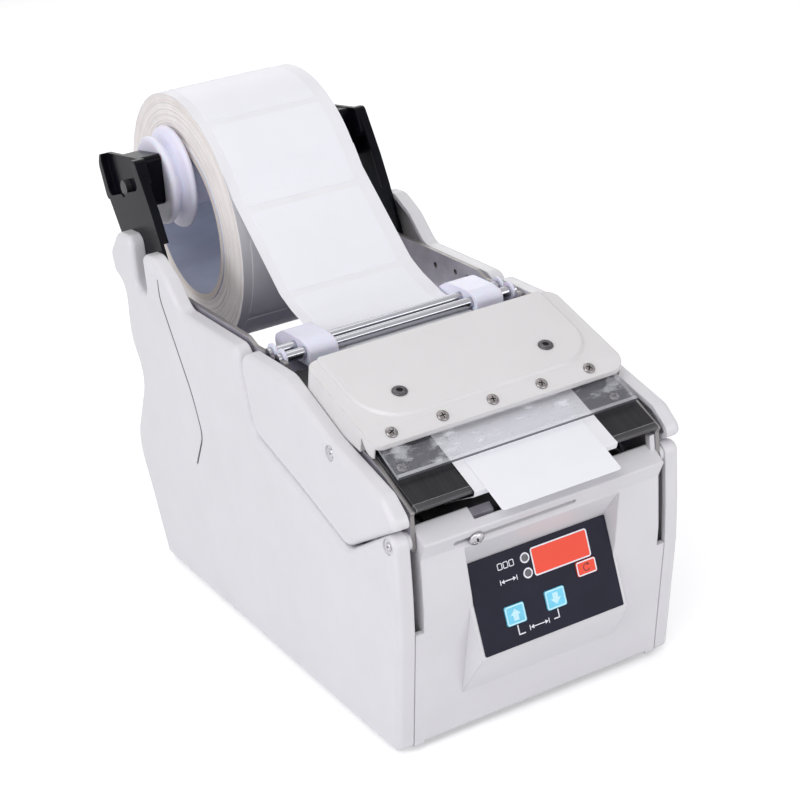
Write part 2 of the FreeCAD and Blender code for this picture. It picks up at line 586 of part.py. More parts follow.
def keypad_boss(wall):
    """Wedge that carries the keypad, proud of the face below; wall is how far inside it lies."""
    half, high = KEYPAD_WIDTH / 2 + 1.8 - wall, KEYPAD_HEIGHT + 1.0 - wall
    deep = 22.0
    low = (-half - 2.8, half + 2.8, -18.6 + wall, high + 14.0)
    return keypad_plane(frustum(low, -deep, (-half, half, -1.2 + wall, high), -wall))


def keypad_recess(wall):
    """Flared pocket that sinks the top of the keypad into the face."""
    half, deep = KEYPAD_WIDTH / 2 + 0.2 + wall, 12.0
    flare = (-half - 3.6, half + 3.6, -4.0 - wall, KEYPAD_HEIGHT + 10.6 + wall)
    return keypad_plane(frustum((-half, half, -0.3 - wall, KEYPAD_HEIGHT + 0.3 + wall), -wall, flare, deep))


def front_panel():
    """Hinged moulded front: tray with a lip, the keypad's wedge and pocket, and hinge ears."""
    back = [(PANEL_INNER[5][0], PANEL_INNER[5][1]), (1.0, TOP - 50.0, 4.0), (1.0, TOP - 90.0, 20.0),
            (PANEL_HINGE_Y + 4.5, 14.0, 6.0), (PANEL_HINGE_Y + 4.5, PANEL_BOTTOM, 4.0)]
    front = [FACE_LINE[0] + (3.0,), FACE_LINE[1] + (40.0,), FACE_LINE[2] + (20.0,), FACE_LINE[3],
             LIP_FRONT + (0.8,), LIP_REAR + (1.0,)]
    block = prism(front + back, -PANEL_HALF, PANEL_HALF)
    inner = [(FACE_LINE[0][0] + PANEL_WALL, -5.0)] + [(y, z) for y, z, r in PANEL_INNER[1:]]
    room = prism(inner + [(60.0, PANEL_INNER[5][1]), (60.0, -5.0)], -PANEL_HALF + 2.3, PANEL_HALF - 2.3)
    block = block.fuse(keypad_boss(0.0)).cut(keypad_recess(0.0))
    room = room.fuse(keypad_boss(PANEL_WALL)).cut(keypad_recess(PANEL_WALL))
    keep = box(-HALF, HALF, -60, 1.0, 0, TOP)
    panel = block.common(keep).fuse(block.common(box(-HALF, HALF, 1.0, 60, 0, 40))).cut(room)
    wing = prism(strip(FACE_LINE[:2], -WING), PANEL_HALF - 1.0, RIM - PLAY)
    wings = [wing, mirrored(wing)]
    posts = [keypad_plane(Part.makeCylinder(2.5, BOARD_DEEP - 2.5, Vector(x, y, -BOARD_DEEP))) for x, y in POSTS]
    upstand = box(PANEL_HALF - 2.6, PANEL_HALF - 0.2, LIP_REAR[0] - 3.3, LIP_REAR[0] - 0.2, LIP_REAR[1] - 3.6,
                  LIP_REAR[1] + 4.6)
    panel = joined([panel, upstand] + wings + posts + [sensor_rail()])
    cuts = [rod(PANEL_HINGE_Y, PANEL_HINGE_Z, HINGE_PIN_RADIUS + FIT, -HALF, HALF)]
    for x0, x1, y0, y1 in list(KEYS.values()) + [WINDOW]:
        cuts.append(keypad_plane(pad(x0 - KEY_GAP, x1 + KEY_GAP, y0 - KEY_GAP, y1 + KEY_GAP, -6, 2, 1.0)))
    cuts += [keypad_plane(Part.makeCylinder(1.8, 8, Vector(x, y, -6))) for x, y in LAMPS]
    cuts.append(bevel_plane(pad(SLOT_LEFT, SLOT_RIGHT, KNOB_UP - 1.2, KNOB_UP + 1.2, -8, 8, 1.1)))
    cuts.append(lip_plane_of_panel(box(SENSOR_LEFT, SENSOR_RIGHT, 4.4, 30, -6, 6)))
    return panel.cut(cuts)


def bevel_plane(shape):
    """Place a piece modelled on the bevel under the lip."""
    return lean(shape, FACE_LINE[3][0], FACE_LINE[3][1], BEVEL_TILT)


def lip_plane_of_panel(shape):
    return lean(shape, LIP_FRONT[0], LIP_FRONT[1], LIP_TILT)


def panel_hinge_pins():
    pin = rod(PANEL_HINGE_Y, PANEL_HINGE_Z, HINGE_PIN_RADIUS, PANEL_HALF - 4.0, PLATE_OUT)
    return group([pin, mirrored(pin)])


def membrane_keypad():
    sheet = pad(-KEYPAD_WIDTH / 2, KEYPAD_WIDTH / 2, 0, KEYPAD_HEIGHT, 0, OVERLAY, 2.5)
    cuts = [pad(x0 - KEY_GAP, x1 + KEY_GAP, y0 - KEY_GAP, y1 + KEY_GAP, -1, 2, 1.0)
            for x0, x1, y0, y1 in list(KEYS.values()) + [WINDOW]]
    cuts += [Part.makeCylinder(1.8, 8, Vector(x, y, -3)) for x, y in LAMPS]
    return keypad_plane(sheet.cut(cuts))


def key(name):
    x0, x1, y0, y1 = KEYS[name]
    return keypad_plane(pad(x0, x1, y0, y1, -2.0, OVERLAY + 0.5, 0.8))


def display_window():
    x0, x1, y0, y1 = WINDOW
    return keypad_plane(pad(x0, x1, y0, y1, -1.0, OVERLAY + 0.1, 0.8))


def indicator_lamps():
    bulb = Part.makeCylinder(1.5, BOARD_DEEP + 0.9)
    return group([keypad_plane(at(bulb, x, y, -BOARD_DEEP)) for x, y in LAMPS])


def keypad_board():
    """Board behind the keypad, with the display block and a press switch under each key."""
    board = pad(-BOARD_HALF, BOARD_HALF, 1.5, KEYPAD_HEIGHT - 1.6, -BOARD_DEEP - 1.6, -BOARD_DEEP, 1.0)
    x0, x1, y0, y1 = WINDOW
    switches = [pad(x0 + 0.6, x1 - 0.6, y0 + 0.6, y1 - 0.6, -BOARD_DEEP, -1.3, 0.5)]
    for x0, x1, y0, y1 in KEYS.values():
        x, y = (x0 + x1) / 2, (y0 + y1) / 2
        switches.append(box(x - 3, x + 3, y - 3, y + 3, -BOARD_DEEP, -BOARD_DEEP + 3.4))
        switches.append(Part.makeCylinder(1.6, BOARD_DEEP - 2.0 - KEY_TRAVEL - 0.1, Vector(x, y, -BOARD_DEEP)))
    return keypad_plane(joined([board] + switches))


def sensor_carriage():
    """Label sensor: slides along the inside of the bevel, its head in the lip's notch."""
    gap = offset_line(FRONT_LINE, -PANEL_WALL - PLAY)
    low, high = gap[3], gap[4]
    part_way = (low[0] + 0.6 * (high[0] - low[0]), low[1] + 0.6 * (high[1] - low[1]))
    back = low[0] + SENSOR_DEEP
    body = prism([(low[0], low[1] - 1.0), (low[0], low[1]), part_way, (back, part_way[1]), (back, low[1] - 1.0)],
                 KNOB_X - 5.0, SENSOR_LEFT + PLAY + 10.0)
    head = [part_way, (back, part_way[1]), (LIP_REAR[0] + 1.0, LIP_REAR[1] - 2.2), (LIP_REAR[0] - 0.5, LIP_REAR[1] - 1.0),
            (LIP_REAR[0] - 3.4, LIP_REAR[1] - 3.2)]
    top = prism(head, SENSOR_LEFT + PLAY, SENSOR_LEFT + PLAY + 10.0)
    return joined([body, top])


def sensor_rail():
    """Moulded rail across the front panel, behind the sensor's carriage."""
    back = offset_line(FRONT_LINE, -PANEL_WALL - PLAY)[3]
    y = back[0] + SENSOR_DEEP + PLAY
    return box(-RAIL_HALF, RAIL_HALF, y, y + 1.2, back[1] - 10.0, back[1] + 3.4)


def sensor_knob():
    cap = Part.makeCone(2.9, 2.6, 3.0, Vector(0, 0, PLAY))
    slot = box(-2.0, 2.0, -0.3, 0.3, 2.6, 5)
    stem = Part.makeCylinder(STEM_RADIUS, PANEL_WALL + 2 * PLAY, Vector(0, 0, -PANEL_WALL - PLAY))
    return bevel_plane(at(cap.cut(slot).fuse(stem), KNOB_X, KNOB_UP, 0))


BRACKET_IN = PLATE_IN - 9.6


def pinch_brackets():
    """They carry the ends of the pinch roller behind the front panel."""
    wall = PANEL_INNER[3]
    plate = prism([(PANEL_INNER[2][0], TOP - 78.0), (wall[0], wall[1]), (PINCH_Y - 3, PINCH_Z + 5.5, 3.0),
                   (PINCH_Y + 5.5, PINCH_Z + 5.5, 5.0), (PINCH_Y + 5.5, PINCH_Z - 5.5, 5.0),
                   (PINCH_Y - 4.0, PINCH_Z - 7.0, 6.0)], BRACKET_IN, BRACKET_IN + 2.0)
    plate = plate.cut(rod(PINCH_Y, PINCH_Z, PINCH_SHAFT + FIT, 0, HALF))
    return group([plate, mirrored(plate)])


def pinch_shaft():
    return rod(PINCH_Y, PINCH_Z, PINCH_SHAFT, -BRACKET_IN - 3.0, BRACKET_IN + 3.0)


def pinch_roller():
    return tube(PINCH_Y, PINCH_Z, PINCH_RADIUS, PINCH_SHAFT, -BRACKET_IN + 2.0, BRACKET_IN - 2.0)


# ------------------------------------------------------------------ drive
DRIVE_HALF = PLATE_IN - 9.5
PULLEY_X0, PULLEY_X1 = PLATE_IN - 6.6, PLATE_IN - 2.0
DRIVE_TEETH, MOTOR_TEETH = 18, 12
TOOTH_PITCH = 3.0
BELT = 1.2


def drive_shaft():
    return rod(DRIVE_Y, DRIVE_Z, DRIVE_SHAFT, -PLATE_OUT - 1.0, PLATE_OUT + 1.0)


def drive_roller():
    return tube(DRIVE_Y, DRIVE_Z, DRIVE_RADIUS, DRIVE_SHAFT, -DRIVE_HALF, DRIVE_HALF)


def drive_bushes():
    sleeve = tube(DRIVE_Y, DRIVE_Z, BUSH_RADIUS, DRIVE_SHAFT + FIT, PLATE_IN, PLATE_OUT)
    collar = tube(DRIVE_Y, DRIVE_Z, BUSH_RADIUS + 1.4, DRIVE_SHAFT + FIT, PLATE_IN - 1.0, PLATE_IN)
    bush = joined([sleeve, collar])
    return group([bush, mirrored(bush)])


def pitch_radius(teeth):
    return teeth * TOOTH_PITCH / (2 * math.pi)


def pulley(teeth, y, z, bore):
    """Toothed belt pulley with two side flanges."""
    radius = pitch_radius(teeth)
    wheel = rod(y, z, radius, PULLEY_X0, PULLEY_X1)
    gap = box(PULLEY_X0, PULLEY_X1, radius - 0.6, radius + 1.0, -0.6, 0.6)
    gaps = []
    for i in range(teeth):
        gaps.append(gap.rotated(Vector(0, 0, 0), Vector(1, 0, 0), 360.0 * i / teeth).translated(Vector(0, y, z)))
    wheel = wheel.cut(gaps)
    ends = [rod(y, z, radius + 1.6, PULLEY_X0 - 0.7, PULLEY_X0), rod(y, z, radius + 1.6, PULLEY_X1, PULLEY_X1 + 0.7)]
    return joined([wheel] + ends).cut(rod(y, z, bore, 0, HALF))


def loop(radius_a, radius_b):
    """Face of a belt line: two circles and their outer tangents."""
    span = math.hypot(MOTOR_Y - DRIVE_Y, MOTOR_Z - DRIVE_Z)
    lean_angle = math.acos((radius_a - radius_b) / span)
    base = math.atan2(MOTOR_Z - DRIVE_Z, MOTOR_Y - DRIVE_Y)

    def spot(y, z, radius, angle):
        return Vector(0, y + radius * math.cos(angle), z + radius * math.sin(angle))

    up, down = base + lean_angle, base - lean_angle
    a1, a2 = spot(DRIVE_Y, DRIVE_Z, radius_a, up), spot(DRIVE_Y, DRIVE_Z, radius_a, down)
    b1, b2 = spot(MOTOR_Y, MOTOR_Z, radius_b, up), spot(MOTOR_Y, MOTOR_Z, radius_b, down)
    far_a = spot(DRIVE_Y, DRIVE_Z, radius_a, base + math.pi)
    far_b = spot(MOTOR_Y, MOTOR_Z, radius_b, base)
    edges = [Part.Arc(a1, far_a, a2).toShape(), Part.makeLine(a2, b2),
             Part.Arc(b2, far_b, b1).toShape(), Part.makeLine(b1, a1)]
    return Part.Face(Part.Wire(edges))


def drive_belt():
    x0, x1 = PULLEY_X0 + PLAY, PULLEY_X1 - PLAY
    faces = []
    for thickness in (PLAY / 3 + BELT, PLAY / 3):
        face = loop(pitch_radius(DRIVE_TEETH) + thickness, pitch_radius(MOTOR_TEETH) + thickness)
        face.translate(Vector(x0, 0, 0))
        faces.append(face.extrude(Vector(x1 - x0, 0, 0)))
    return faces[0].cut(faces[1])


def motor():
    half = MOTOR_SIZE / 2
    can = box(MOTOR_FACE - MOTOR_LENGTH, MOTOR_FACE, MOTOR_Y - half, MOTOR_Y + half, MOTOR_Z - half, MOTOR_Z + half)
    edges = [e for e in can.Edges if e.BoundBox.XLength > MOTOR_LENGTH - 1]
    can = can.makeChamfer(3.5, edges)
    can = joined([can, rod(MOTOR_Y, MOTOR_Z, 11.0, MOTOR_FACE, MOTOR_FACE + 0.6)])
    return can.cut(rod(MOTOR_Y, MOTOR_Z, MOTOR_SHAFT + FIT, MOTOR_FACE - 12, HALF))


def motor_shaft():
    return rod(MOTOR_Y, MOTOR_Z, MOTOR_SHAFT, MOTOR_FACE - 12, PLATE_IN - 0.8)


def motor_mounts():
    """Spacers between the motor and the frame plate, with their screws."""
    pieces = []
    for y, z in MOTOR_BOLTS:
        pieces.append(rod(y, z, 3.2, MOTOR_FACE, PLATE_IN))
        pieces.append(at(screw(2.8, 1.3, M3, PLATE), PLATE_OUT, y, z, Vector(1, 0, 0)))
    return group(pieces)


# ------------------------------------------------------------------ web path
def peel_edge_bar():
    back = 3.0
    line = [(PEEL_EDGE_Y, PEEL_EDGE_Z), (PEEL_EDGE_Y + back * ALONG_PEEL[0], PEEL_EDGE_Z + back * ALONG_PEEL[1])]
    bar = strip(line, -PEEL_PLATE)
    return prism([bar[0] + (0.9,), bar[1], bar[2], (bar[3][0], bar[3][1], 0.9)], -PLATE_IN, PLATE_IN)


def peel_plate():
    back = 3.0
    start = (PEEL_EDGE_Y + back * ALONG_PEEL[0], PEEL_EDGE_Z + back * ALONG_PEEL[1])
    line = [start, (DECK_BEND_Y, DECK_BEND_Z, 30.0), (DECK_REAR_Y, DECK_REAR_Z)]
    plate = prism(strip(line, -PEEL_PLATE), -PLATE_IN, PLATE_IN)
    holes = [peel_plane(Part.makeCylinder(LIP_SHANK + DRILL, 10, Vector(x, PEEL_SCREW_PLACE, -5))) for x in (-PEEL_SCREW_X, PEEL_SCREW_X)]
    holes += [peel_plane(Part.makeCylinder(2.6 + DRILL, 10, Vector(x, PEEL_SCREW_PLACE, -PEEL_SINK))) for x in (-PEEL_SCREW_X, PEEL_SCREW_X)]
    return plate.cut(holes)


def peel_plane(shape):
    return lean(shape, PEEL_EDGE_Y, PEEL_EDGE_Z, PEEL_SLOPE)


def paper_deck():
    """Bent sheet under the roll and the guides, over the electronics."""
    line = [(REAR - 14.0, TOP - 59.0), (REAR - 60.0, TOP - 58.0, 15.0), (ROD_REAR_Y + 28.0, TOP - 13.5, 12.0),
            (ROD_FRONT_Y - 3.0, TOP - 11.5)]
    return prism(strip(line, SHEET), -PLATE_IN, PLATE_IN)


def rear_panel():
    line = [(REAR - 3.5, BASE_Z), (REAR + 3.3, 35.0, 60.0), (REAR + 4.2, 58.0, 50.0), (REAR - 2.5, TOP - 64.0, 20.0),
            (REAR - 5.5, TOP - 59.0 + 0.2, 2.5), (REAR - 14.0, TOP - 59.0)]
    panel = prism(strip(line, -SHEET), -PLATE_IN, PLATE_IN)
    hole = rear_plane(box(SWITCH_X - 5.8, SWITCH_X + 5.8, -9.8, 9.8, -8, 8))
    jack = rear_plane(Part.makeCylinder(5.5, 16, Vector(JACK_X, 0, -8)))
    return panel.cut([hole, jack])


REAR_TILT = math.degrees(math.atan2(33.0, 6.8)) - 180.0
SWITCH_X, JACK_X = -24.0, 24.0
SWITCH_UP = 22.0


def rear_plane(shape):
    """Place a piece modelled on the rear panel: x across, y down, z outward."""
    up = math.radians(REAR_TILT + 180.0)
    y = REAR - 3.5 + SWITCH_UP * math.cos(up) + SHEET * math.sin(up)
    z = BASE_Z + SWITCH_UP * math.sin(up) - SHEET * math.cos(up)
    return lean(shape, y, z, REAR_TILT)


ROCKER_PIVOT = -1.0                             # pivot pins' height, measured from the rear panel's face
ROCKER_PIN = 1.0


def switch_bezel():
    rim = pad(SWITCH_X - 7.0, SWITCH_X + 7.0, -11.5, 11.5, 0, 1.6, 1.5)
    body = box(SWITCH_X - 5.7, SWITCH_X + 5.7, -9.7, 9.7, -14.0, 0)
    well = box(SWITCH_X - 4.7, SWITCH_X + 4.7, -8.7, 8.7, -7.0, 3)
    bore = rod(0.0, ROCKER_PIVOT, ROCKER_PIN + FIT, SWITCH_X - 5.2, SWITCH_X + 5.2)
    return rear_plane(joined([rim, body]).cut([well, bore]))


def power_rocker():
    """Rocker in its off state, upper end out, with its two pivot pins."""
    face = prism([(-7.6, 3.3, 1.0), (0.0, 1.2, 14.0), (7.6, 0.4, 1.0), (6.0, -2.6, 1.0), (0.0, -5.4, 2.0),
                  (-6.0, -2.0, 1.0)], SWITCH_X - 4.4, SWITCH_X + 4.4)
    pins = rod(0.0, ROCKER_PIVOT, ROCKER_PIN, SWITCH_X - 5.1, SWITCH_X + 5.1)
    return rear_plane(joined([face, pins]))


def dc_inlet():
    barrel = Part.makeCylinder(5.4, 13.5, Vector(JACK_X, 0, -12))
    rim = Part.makeCylinder(7.0, 1.6, Vector(JACK_X, 0, 0))
    socket = Part.makeCylinder(3.3, 10, Vector(JACK_X, 0, -7))
    pin = Part.makeCylinder(1.0, 7.0, Vector(JACK_X, 0, -8))
    return rear_plane(joined([barrel.fuse(rim).cut(socket), pin]))


def guide_rods():
    return group([rod(y, ROD_Z, ROD_RADIUS, -PLATE_OUT, PLATE_OUT) for y in (ROD_FRONT_Y, ROD_REAR_Y)])


def rod_blocks():
    """Nylon collars at the ends of both guide rods, against the frame plates."""
    collars = [tube(y, ROD_Z, 4.2, ROD_RADIUS, PLATE_IN - ROD_COLLAR, PLATE_IN) for y in (ROD_FRONT_Y, ROD_REAR_Y)]
    return group(collars + [mirrored(collar) for collar in collars])


def edge_guide(side):
    """Nylon guide that slides on both rods and keeps the web's edge in place."""
    points = [(ROD_FRONT_Y - 5.2, ROD_Z - 6.2, 1.5), (ROD_FRONT_Y - 5.2, ROD_Z + 3.0, 4.0),
              (ROD_FRONT_Y + 3.0, ROD_Z + 4.6, 8.0), (ROD_REAR_Y + 11.0, ROD_Z + 4.4, 9.0),
              (ROD_REAR_Y + 20.4, ROD_Z - 0.5, 5.0), (ROD_REAR_Y + 19.6, ROD_Z - 6.2, 1.5)]
    inner = LINER_RIGHT + GUIDE_GAP if side > 0 else LINER_LEFT - GUIDE_GAP
    guide = prism(points, min(inner, inner + side * GUIDE_WIDTH), max(inner, inner + side * GUIDE_WIDTH))
    bores = [rod(y, ROD_Z, ROD_RADIUS + FIT, -HALF, HALF) for y in (ROD_FRONT_Y, ROD_REAR_Y)]
    return guide.cut(bores)


def label_web():
    return prism(strip(web_route(), PAPER), LINER_LEFT, LINER_RIGHT)


def liner_return():
    return prism(strip(liner_route(), -PAPER), LINER_LEFT, LINER_RIGHT)




def peel_point(along, lift):
    """A point a distance up the peel plate from its edge, and lifted off it."""
    return on_slope((PEEL_EDGE_Y, PEEL_EDGE_Z), PEEL_SLOPE, along, lift)


def dispensed_label():
    """The label held out past the peel edge, its rear part still on the liner."""
    lift = PLAY + PAPER + 0.05
    drop = math.radians(PEEL_SLOPE + 12.0)
    start, knee = peel_point(LABEL_HELD, lift), peel_point(-3.0, lift)
    tip = (knee[0] - (LABEL_OUT - 3.0) * math.cos(drop), knee[1] - (LABEL_OUT - 3.0) * math.sin(drop))
    return prism(strip([start, knee + (12.0,), tip], -PAPER / 2), LABEL_LEFT, LABEL_RIGHT)


# ------------------------------------------------------------------ roll and its holder
HUB_GAP = 1.2
FLANGE, NECK, DISC = 3.6, 4.4, 4.0
HUB_OUT = LINER_LEFT - HUB_GAP - FLANGE - NECK - DISC
ARM_SHEET = PLATE_GAP - 0.1
BARREL_LONG = LINER_WIDTH / 2 - 4.5             # hub's barrel inside the core


def label_roll():
    return tube(ROLL_Y, ROLL_Z, ROLL_RADIUS, CORE_BORE_RADIUS + CORE_WALL, LINER_LEFT, LINER_RIGHT)


def paper_core():
    return tube(ROLL_Y, ROLL_Z, CORE_BORE_RADIUS + CORE_WALL, CORE_BORE_RADIUS, LINER_LEFT, LINER_RIGHT)


def roll_hub(side):
    """Nylon hub: flange beside the roll, barrel inside the core, grooved grip disc outside."""
    x = 0.0
    profile = [(x, AXLE_RADIUS + FIT), (x, 20.6), (x + 1.0, 21.5), (x + DISC, 21.2), (x + DISC, 17.4),
               (x + DISC + NECK, 17.4), (x + DISC + NECK, 25.8), (x + DISC + NECK + FLANGE, 26.5),
               (x + DISC + NECK + FLANGE, BARREL_RADIUS), (x + DISC + NECK + FLANGE + BARREL_LONG, BARREL_RADIUS),
               (x + DISC + NECK + FLANGE + BARREL_LONG, AXLE_RADIUS + FIT)]
    hub = turned(profile, 0, 0)
    if side > 0:
        hub = mirrored(hub)
    hub.translate(Vector(HUB_OUT if side < 0 else 2 * LINER_OFFSET - HUB_OUT, AXLE_Y, AXLE_Z))
    return hub


def roll_axle():
    return rod(AXLE_Y, AXLE_Z, AXLE_RADIUS, -PLATE_OUT - 1.0, PLATE_OUT + 1.0)


def arm(side):
    """Roll arm: plate outside the frame plate, stiffened head, inward front flange and axle stub."""
    front = [(REAR - 17.2, TOP + 61.0, 3.0), (REAR - 29.0, TOP + 39.0, 30.0), (REAR - 37.0, TOP + 20.0, 30.0),
             (REAR - 49.0, TOP - 14.0, 20.0), (REAR - 50.0, TOP - 42.0, 8.0)]
    back = [(REAR - 26.0, TOP - 42.0, 8.0), (REAR - 10.0, TOP - 12.0, 20.0), (REAR + 12.5, TOP + 15.0, 4.0),
            (REAR + 29.0, TOP + 42.0, 10.0), (REAR + 31.5, TOP + 50.0, 4.0), (REAR + 29.0, TOP + 55.5, 3.0)]
    plate = prism(front + back, PLATE_OUT, PLATE_OUT + ARM_SHEET)
    head = [(REAR - 17.2, TOP + 61.0, 3.0), (REAR - 22.5, TOP + 48.0, 3.0), (REAR + 26.5, TOP + 32.5, 3.0),
            (REAR + 31.5, TOP + 49.0, 4.0), (REAR + 29.0, TOP + 55.5, 3.0)]
    cap = prism(head, PLATE_IN - 2.0, PLATE_OUT + ARM_SHEET)
    pocket = prism([(REAR - 10.0, TOP + 70.0), (REAR - 16.6, TOP + 46.5, 3.0), (REAR + 22.0, TOP + 35.5, 4.0),
                    (REAR + 27.5, TOP + 52.0), (REAR + 24.0, TOP + 70.0)], PLATE_IN + 0.2, HALF)
    lip = prism(strip([(REAR - 17.6, TOP + 60.0), (REAR - 29.0, TOP + 39.0, 30.0), (REAR - 35.5, TOP + 24.0)], ARM_SHEET),
                PLATE_IN - 0.5, PLATE_OUT + ARM_SHEET)
    inner = -HUB_OUT if side < 0 else 2 * LINER_OFFSET - HUB_OUT
    stub = prism([(AXLE_Y - 15.0, AXLE_Z + 17.0, 2.5), (AXLE_Y - 13.0, AXLE_Z - 9.0, 4.0),
                  (AXLE_Y + 13.0, AXLE_Z - 9.0, 4.0), (AXLE_Y + 14.0, AXLE_Z + 13.0, 2.5)], inner + 0.4, PLATE_OUT + 0.5)
    body = joined([plate, cap, lip, stub])
    cuts = [rod(AXLE_Y, AXLE_Z, AXLE_RADIUS + FIT, 0, HALF), pocket]
    cuts += [rod(y, z, M3 + DRILL, 0, HALF) for y, z in ARM_SCREWS]
    body = body.cut(cuts)
    return body if side > 0 else mirrored(body)


def arm_screws():
    pieces = []
    for side in (-1, 1):
        for y, z in ARM_SCREWS:
            one = screw(3.0, 1.6, M3, ARM_SHEET + PLATE + 1.0)
            pieces.append(at(one, side * (PLATE_OUT + ARM_SHEET), y, z, Vector(side, 0, 0)))
    return group(pieces)


# ------------------------------------------------------------------ electronics
BOARD = (-44.0, 44.0, 78.0, 178.0)
BOARD_Z = BASE_Z + 14.0


def control_board():
    x0, x1, y0, y1 = BOARD
    board = pad(x0, x1, y0, y1, BOARD_Z, BOARD_Z + 1.6, 2.0)
    top = BOARD_Z + 1.6
    sink = [box(-40 + 4 * i, -38.4 + 4 * i, y0 + 12, y0 + 40, top, top + 22) for i in range(5)]
    sink.append(box(-40, -22.4, y0 + 12, y0 + 40, top, top + 3))
    cans = [Part.makeCylinder(6.0, 20.0, Vector(x, y0 + 70, top)) for x in (0.0, 16.0)]
    chips = [box(-10, 4, y0 + 20, y0 + 34, top, top + 2.5), box(24, 38, y0 + 12, y0 + 44, top, top + 8)]
    posts = [Part.makeCylinder(3.0, BOARD_Z - BASE_Z - PLATE, Vector(x, y, BASE_Z + PLATE))
             for x in (x0 + 5, x1 - 5) for y in (y0 + 5, y1 - 5)]
    return joined([board] + sink + cans + chips + posts)


# ------------------------------------------------------------------ main
def parts():
    """Every sub-part by its name."""
    made = {
        "base_plate": base_plate(), "rubber_feet": rubber_feet(), "rear_panel": rear_panel(),
        "paper_deck": paper_deck(), "top_cover": top_cover(), "cover_hex_screws": cover_hex_screws(),
        "pan_head_screws": pan_head_screws(), "clear_guard": clear_guard(), "peel_plate": peel_plate(),
        "peel_edge": peel_edge_bar(), "guide_rods": guide_rods(),
        "front_panel": front_panel(), "panel_hinge_pins": panel_hinge_pins(),
        "membrane_keypad": membrane_keypad(), "display_window": display_window(),
        "indicator_lamps": indicator_lamps(), "keypad_board": keypad_board(),
        "sensor_carriage": sensor_carriage(), "sensor_knob": sensor_knob(),
        "pinch_shaft": pinch_shaft(), "pinch_roller": pinch_roller(), "drive_shaft": drive_shaft(),
        "drive_roller": drive_roller(), "drive_bushes": drive_bushes(),
        "drive_pulley": pulley(DRIVE_TEETH, DRIVE_Y, DRIVE_Z, DRIVE_SHAFT), "drive_belt": drive_belt(),
        "motor_pulley": pulley(MOTOR_TEETH, MOTOR_Y, MOTOR_Z, MOTOR_SHAFT), "motor": motor(),
        "motor_shaft": motor_shaft(), "motor_mounts": motor_mounts(),
        "label_web": label_web(), "liner_return": liner_return(), "dispensed_label": dispensed_label(),
        "label_roll": label_roll(), "paper_core": paper_core(), "roll_axle": roll_axle(),
        "arm_screws": arm_screws(), "control_board": control_board(),
        "switch_bezel": switch_bezel(), "power_rocker": power_rocker(), "dc_inlet": dc_inlet(),
        "side_screws": side_screws(), "rod_blocks": rod_blocks(), "pinch_brackets": pinch_brackets(),
    }
    for name in KEYS:
        made[name] = key(name)
    for name, side in {"left": -1, "right": 1}.items():
        cover = shell(side_cover_outline(), COVER_SCREWS, COVER_HOOKS, GROOVE_LINE)
        shoulder = shell(shoulder_outline(), SHOULDER_SCREWS, SHOULDER_HOOKS, [])
        made[name + "_side_cover"] = cover if side > 0 else mirrored(cover)
        made[name + "_shoulder_cover"] = shoulder if side > 0 else mirrored(shoulder)
        made[name + "_frame_plate"] = frame_plate(side)
        made[name + "_arm"] = arm(side)
        made[name + "_hub"] = roll_hub(side)
        made[name + "_edge_guide"] = edge_guide(side)
    return made


def main():
    made = parts()
    whole = FreeCAD.BoundBox()
    for shape in made.values():
        whole.add(shape.optimalBoundingBox(False))
    shift = Vector(-whole.Center.x, -whole.Center.y, -whole.ZMin)
    os.makedirs("parts", exist_ok=True)
    for name, shape in made.items():
        shape.translate(shift)
        shape.exportStep("parts/" + name + ".step")
    print(len(made), "nodes", whole, "shift", shift)


if __name__ == "__main__":
    main()
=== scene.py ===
"""Looks of the label dispenser: finishes, label web and roll, clear guard, keypad print and fasteners.

Everything is in metres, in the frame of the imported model: x to the right, the front faces -y, z up.
"""
import math
import random

import bmesh
import bpy
import numpy as np
from mathutils import Matrix, Vector
from mathutils.geometry import tessellate_polygon


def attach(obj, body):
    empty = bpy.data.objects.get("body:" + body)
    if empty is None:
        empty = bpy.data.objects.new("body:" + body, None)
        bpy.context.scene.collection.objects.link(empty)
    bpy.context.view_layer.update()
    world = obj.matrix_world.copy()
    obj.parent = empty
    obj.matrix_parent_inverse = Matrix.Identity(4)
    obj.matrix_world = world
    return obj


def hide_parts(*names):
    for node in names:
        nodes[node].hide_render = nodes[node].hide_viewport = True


MM = 0.001

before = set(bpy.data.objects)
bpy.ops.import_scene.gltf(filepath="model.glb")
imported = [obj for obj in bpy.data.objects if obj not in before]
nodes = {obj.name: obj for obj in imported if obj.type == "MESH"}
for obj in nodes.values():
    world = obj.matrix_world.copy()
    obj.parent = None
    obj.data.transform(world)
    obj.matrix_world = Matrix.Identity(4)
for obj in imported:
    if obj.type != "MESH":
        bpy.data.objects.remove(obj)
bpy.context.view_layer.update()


# ------------------------------------------------------------------ camera, lights and floor
CAMERA_PLACE = Vector((-0.38307, -0.77376, 0.46128))
CAMERA_AZIMUTH = math.radians(-27.50)
CAMERA_ELEVATION = math.radians(22.85)
CAMERA_ROLL = math.radians(6.18)
SENSOR = 36.0
LENS = 89.7


def make_camera():
    data = bpy.data.cameras.new("camera")
    camera = bpy.data.objects.new("camera", data)
    bpy.context.scene.collection.objects.link(camera)
    flat = math.cos(CAMERA_ELEVATION)
    back = Vector((math.sin(CAMERA_AZIMUTH) * flat, -math.cos(CAMERA_AZIMUTH) * flat,
                   math.sin(CAMERA_ELEVATION)))
    level = (-back).to_track_quat("-Z", "Y").to_matrix()
    turn = Matrix.Rotation(-CAMERA_ROLL, 3, "Z")
    camera.matrix_world = Matrix.Translation(CAMERA_PLACE) @ (level @ turn).to_4x4()
    data.sensor_width = SENSOR
    data.lens = LENS
    data.clip_start = 0.01
    data.clip_end = 20.0
    bpy.context.scene.camera = camera


